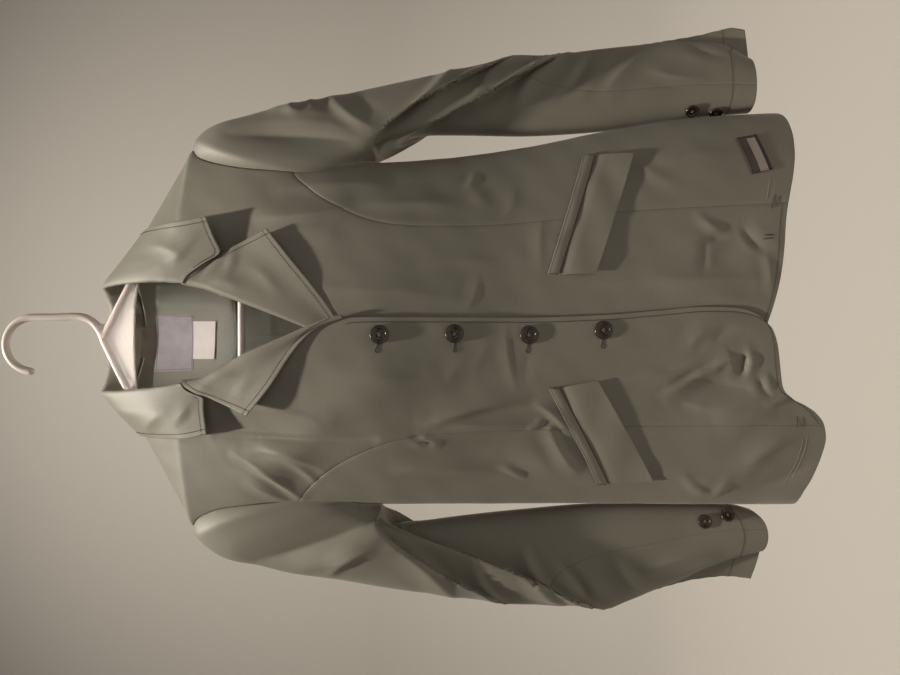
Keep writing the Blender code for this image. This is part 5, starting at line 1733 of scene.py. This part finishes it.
neck_tape = tape_cloth("woven_label_tape", "#c9c0c4", "#9d9499", 0.0007, 0.55)
satin_tape = tape_cloth("satin_care_tape", "#fff6f0", "#f3e6de", 0.0005, 0.42)
loop_tape = tape_cloth("herringbone_loop_tape", "#c0b5a8", "#8d8277", 0.0008, 0.7)
dark_tape = tape_cloth("dark_hem_tape", "#59524c", "#3a3531", 0.0007, 0.6)
pale_tape = tape_cloth("pale_strip_tape", "#b5ab9e", "#948a7f", 0.0007, 0.55)
border_thread, _ = new_material("label_border_thread", Base_Color=linear("#574f54"), Roughness=0.6)

# %% Sew the labels
LABEL_WALL = 0.9
LABEL_GAP = 0.8
TAPE_WALL = 0.45
BORDER = 1.6


def sew_label(name, corners, lift, material, face=behind, seen=-1.0, border=(), thread_colour=None):
    """A bare label between four corners."""
    outer, inner = patch(corners, lift, TAPE_WALL, "left", face)
    if seen < 0:
        pushed = unit(outer - inner) * crease_rise(inner, FACING_CREASES)[..., None]
        outer, inner = outer - pushed, inner - pushed
    stitched = [(edge, BORDER, 0, 900) for edge in border]
    return sew(name, outer, inner, stitched, (), material, "label_tape", seen, thread_colour)


def sew_labels():
    """The labels in the neck and at the hem, and the hanging loop."""
    inside = -WALL - FACING_GAP - FACING_WALL - LABEL_GAP
    around_it = ("left", "right", "top", "bottom")
    sew_label("cloth_neck_label", ((-31, 134), (33, 134), (-29, 171), (32, 171)),
              lambda a, b: inside - 0.7 * np.sin(a * 9.0) * np.sin(b * math.pi) - 0.3 * np.sin(b * 5.0),
              neck_tape, border=around_it, thread_colour=border_thread)
    sew_label("cloth_care_label", ((-17, 170.6), (25, 170.6), (-17, 193), (25, 194)),
              lambda a, b: inside - 0.3 - 1.5 * b ** 2 - 0.4 * np.sin(a * 7.0 + 1.0) * b, satin_tape)
    sew_label("cloth_hanging_loop", ((-16, 119), (19, 119), (-17.5, 132.5), (20.5, 132.5)),
              lambda a, b: inside - 1.0 - 4.0 * np.sin(a * math.pi) * (1.2 - b), loop_tape)
    sew_label("cloth_hem_label", ((158, 728), (195, 718), (163, 748), (199, 738)),
              lambda a, b: LABEL_WALL + 0.2, dark_tape, around, 1.0, around_it, thread)
    strip = patch(((160.5, 736.0), (193.5, 727.0), (162.3, 744.0), (195.2, 735.0)),
                  lambda a, b: LABEL_WALL + 0.55, 0.3, "left", around)[0]
    quads = grid_faces(*strip.shape[:2])
    piece = mesh_piece("hem_label_strip", strip.reshape(-1, 3), quads[:, ::-1], pale_tape)
    layer = piece.data.uv_layers.new(name="grain")
    flat = np.stack([strip[..., 0], strip[..., 2]], -1).reshape(-1, 2) * MM
    layer.uv.foreach_set("vector", flat[quads[:, ::-1].ravel()].astype(np.float32).ravel())
    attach(piece, "root")


sew_labels()
print("labels:", [name for name in cut_pieces if "label" in name or "loop" in name])

# %% [markdown]
# ## Hanger
#
# The hanger is moulded polystyrene: round rods, a thin web under the hook, and soft
# blends where they meet. Rods laid through each other show a hard line at the joint,
# so they are fused by a voxel remesh and then smoothed, which gives the blends.

# %% Moulded polystyrene
styrene, styrene_shader = new_material("moulded_polystyrene", IOR=1.59, Subsurface_Weight=0.06,
                                       Subsurface_Scale=0.004)
place = add_node(styrene, "ShaderNodeTexCoord")["Object"]
flow = add_node(styrene, "ShaderNodeTexNoise", {"Vector": place, "Scale": 30.0, "Detail": 3.0})["Fac"]
shade = add_node(styrene, "ShaderNodeMix", {"Factor": flow, 6: linear("#e9ddd3"), 7: linear("#f4ebe3")},
                 data_type="RGBA")[2]
gloss = add_node(styrene, "ShaderNodeMapRange", {"Value": flow, "To Min": 0.26, "To Max": 0.42})["Result"]
styrene.node_tree.links.new(shade, styrene_shader.inputs["Base Color"])
styrene.node_tree.links.new(gloss, styrene_shader.inputs["Roughness"])

# %% Rods and plates of the hanger
# Hanger
HOOK_RADIUS = 27.4
ROD_RADIUS = 4.0
HANGER_CENTRE = 5.2
HANGER_BAR = 236.0
HANGER_END = (188.0, 220.0)
HANGER_END_RADIUS = 16.0
WEB_THICKNESS = 3.0
# One arm of the hanger, outwards from its middle.
ARM = Table("reach down", [(0, 95), (54, 122), (98, 148.5), (145, 172.8), (180, 191.6), (196, 204)])


def arm_path(sign, start, count):
    """Arm, rounded end and half of the bar on one side, as x and down."""
    reach = np.linspace(start, 196, count)
    arm = [(HANGER_CENTRE + sign * r, float(ARM.read("down", r))) for r in reach]
    end_x, end_down = HANGER_END
    bend = [(HANGER_CENTRE + sign * (end_x + HANGER_END_RADIUS * math.cos(angle)),
             end_down + HANGER_END_RADIUS * math.sin(angle))
            for angle in np.radians([-42, -18, 6, 30, 54, 76, 90])]
    return arm + bend


VOXEL = 0.8
ROD_SIDES = 24
HOOK_POINTS, ARM_POINTS, LIP_POINTS = 160, 260, 60
LIP_RADIUS = 1.9


def smooth_line(points, count):
    """A line resampled evenly on a smooth curve through its points."""
    points = np.array(points, float)
    knots = np.concatenate([[0], np.linalg.norm(np.diff(points, axis=0), axis=1).cumsum()])
    at = np.linspace(0, knots[-1], count)
    slope = np.gradient(points, knots, axis=0)
    row = np.clip(np.searchsorted(knots, at, side="right") - 1, 0, len(knots) - 2)
    step = np.diff(knots)[row][:, None]
    t = ((at - knots[row]) / step[:, 0])[:, None]
    start, end = points[row], points[row + 1]
    return (start * (1 + 2 * t) * (1 - t) ** 2 + end * t * t * (3 - 2 * t)
            + step * t * (1 - t) * (slope[row] * (1 - t) - slope[row + 1] * t))


def plate(outline, thickness):
    """Points and faces of a flat plate in the hanger's plane."""
    outline = np.array(outline, float)
    near = np.stack([outline[:, 0], np.full(len(outline), -thickness / 2), -outline[:, 1]], -1)
    far = near + np.array([0, thickness, 0])
    count = len(outline)
    sides = [[k, (k + 1) % count, (k + 1) % count + count, k + count] for k in range(count)]
    return np.concatenate([near, far]), [list(range(count))[::-1], list(range(count, 2 * count))] + sides


def plate_pin(x, down):
    """A short round mark that the mould's ejector pin leaves."""
    return tube(np.array([[x, -WEB_THICKNESS / 2 - 0.5, -down], [x, 0, -down]]), 0.9, 12)

# %% [markdown]
# ## The hanger in one piece
#
# The rods and plates overlap. Remeshing joins them to one skin with soft inner corners,
# as a mould leaves them.

# %% Mould the hanger
def mould_hanger():
    """Hook, arms, bar and web, fused."""
    arc_centre = -(HOOK_RADIUS - ROD_RADIUS)
    hook = [(HOOK_RADIUS * math.cos(angle), 0, arc_centre + HOOK_RADIUS * math.sin(angle))
            for angle in np.radians(np.linspace(184, 0, 40))]
    neck = [(27.6, 0, -40), (28, 0, -55), (28.4, 0, -66), (28, 0, -73), (25.5, 0, -80.5), (21, 0, -86.5),
            (15, 0, -91), (6, 0, -95.6)]
    hook_line = smooth_line(hook + neck, HOOK_POINTS)
    radius = np.full(HOOK_POINTS, ROD_RADIUS)
    radius[:5] = ROD_RADIUS * np.array([0.35, 0.68, 0.86, 0.95, 0.99])
    rods = [tube(hook_line, radius, ROD_SIDES)]
    for sign, start in ((-1, 0), (1, 3)):
        arm = [(x, 0, -down) for x, down in arm_path(sign, start, 12)]
        bar = [(HANGER_CENTRE + sign * reach, 0, -HANGER_BAR) for reach in (170, 120, 60, -4)]
        rods.append(tube(smooth_line(arm + bar, ARM_POINTS), ROD_RADIUS, ROD_SIDES))
    web = plate([(8, 96), (62, 126), (66, 131), (45, 127.5), (5, 126), (-33, 127.5), (-54, 130.5), (-50, 122)],
                WEB_THICKNESS)
    gusset = plate([(6, 98), (20.5, 88), (22, 104)], WEB_THICKNESS * 0.9)
    lip = tube(smooth_line([(66, 0, -130.5), (45, 0, -127.5), (5, 0, -126), (-33, 0, -127.5), (-54, 0, -130)],
                           LIP_POINTS), LIP_RADIUS, 16)
    pins = [plate_pin(x, down) for x, down in ((6.2, 111.5), (6.6, 117.5))]
    whole = rod_mesh("hanger_moulding", rods + [web, gusset, lip] + pins, styrene)
    fuse = whole.modifiers.new("fuse", "REMESH")
    fuse.mode, fuse.voxel_size, fuse.use_smooth_shade = "VOXEL", VOXEL * MM, True
    soften = whole.modifiers.new("soften", "CORRECTIVE_SMOOTH")
    soften.use_only_smooth, soften.iterations, soften.factor = True, 6, 0.6
    made = bpy.data.meshes.new_from_object(whole.evaluated_get(bpy.context.evaluated_depsgraph_get()))
    whole.modifiers.clear()
    whole.data = made
    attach(whole, "root")
    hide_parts("hanger")
    print("hanger faces:", len(made.polygons))


mould_hanger()

# %% [markdown]
# ## Floor, light and camera
#
# A pale sweep stands for floor and wall. One lamp above and in front gives the
# shadows under the lapels and flaps, and a wide dim one fills them. A narrow beam
# reaches the labels inside the neck, and one more lamp lights the wall.

# %% Stage
FLOOR_DOWN = 1250.0
WALL_BEHIND = 3200.0
SWEEP_RADIUS = 1200.0
STAGE_HALF_WIDTH = 6000.0


def sweep():
    """Floor, curve and wall as one surface."""
    turn = np.linspace(0, math.pi / 2, 24)
    y = np.concatenate([[-4000.0], WALL_BEHIND - SWEEP_RADIUS + SWEEP_RADIUS * np.sin(turn), [WALL_BEHIND]])
    z = np.concatenate([[0.0], SWEEP_RADIUS * (1 - np.cos(turn)), [4500.0]]) - FLOOR_DOWN
    points = [(x, a, b) for x in (-STAGE_HALF_WIDTH, STAGE_HALF_WIDTH) for a, b in zip(y, z)]
    count = len(y)
    faces = [[k, k + 1, count + k + 1, count + k] for k in range(count - 1)]
    return mesh_piece("floor", points, faces, pale)


pale, _ = new_material("pale_paper", Base_Color=linear("#cdc8c0"), Roughness=0.9)
sweep()


def lamp(name, place, target, size, power, code, spread=180.0):
    """A square soft lamp that points at a place, both in metres, with a beam of so many degrees."""
    light = bpy.data.lights.new(name, "AREA")
    light.size, light.energy, light.color, light.spread = size, power, linear(code)[:3], math.radians(spread)
    thing = bpy.data.objects.new(name, light)
    bpy.context.scene.collection.objects.link(thing)
    thing.location = place
    thing.rotation_euler = (Vector(target) - Vector(place)).to_track_quat("-Z", "Y").to_euler()


lamp("key", (-0.42, -0.54, 2.14), (0.0, 0.0, -0.35), 0.12, 77.0, "#fff5e8")
lamp("fill", (0.4, -2.4, 0.0), (0.0, 0.0, -0.4), 2.0, 4.6, "#fbf8f4")
lamp("neck", (0.0, -1.0, 0.16), (0.0, 0.0, -0.158), 0.05, 0.019, "#fff8f0", 9.0)
lamp("backdrop", (0.0, 0.5, 3.0), (0.0, 3.2, -0.9), 2.6, 34.0, "#fff8ee", 110.0)
world = bpy.data.worlds.new("studio")
world.use_nodes = True
world.node_tree.nodes["Background"].inputs["Color"].default_value = linear("#f2efe9")
world.node_tree.nodes["Background"].inputs["Strength"].default_value = 0.05
bpy.context.scene.world = world
bpy.context.scene.view_settings.view_transform = "Standard"

# %% [markdown]
# ## Camera
#
# It stands where the photographer stood, turned on its side. Its lens is worked out
# from the picture's width and from how fast things grow as they come nearer.

# %% Camera
FOCAL_PIXELS = 676.0
FRAME_WIDTH = 900.0
CAMERA_PLACE = (0.007, -0.688, -0.448)
camera = bpy.data.cameras.new("camera")
camera.sensor_width = 36.0
camera.lens = FOCAL_PIXELS / FRAME_WIDTH * camera.sensor_width
viewer = bpy.data.objects.new("camera", camera)
bpy.context.scene.collection.objects.link(viewer)
viewer.location = CAMERA_PLACE
viewer.rotation_euler = Matrix(((0, 1, 0), (0, 0, -1), (-1, 0, 0))).to_euler()
bpy.context.scene.camera = viewer
print("camera looks along", [round(v, 3) for v in viewer.rotation_euler])
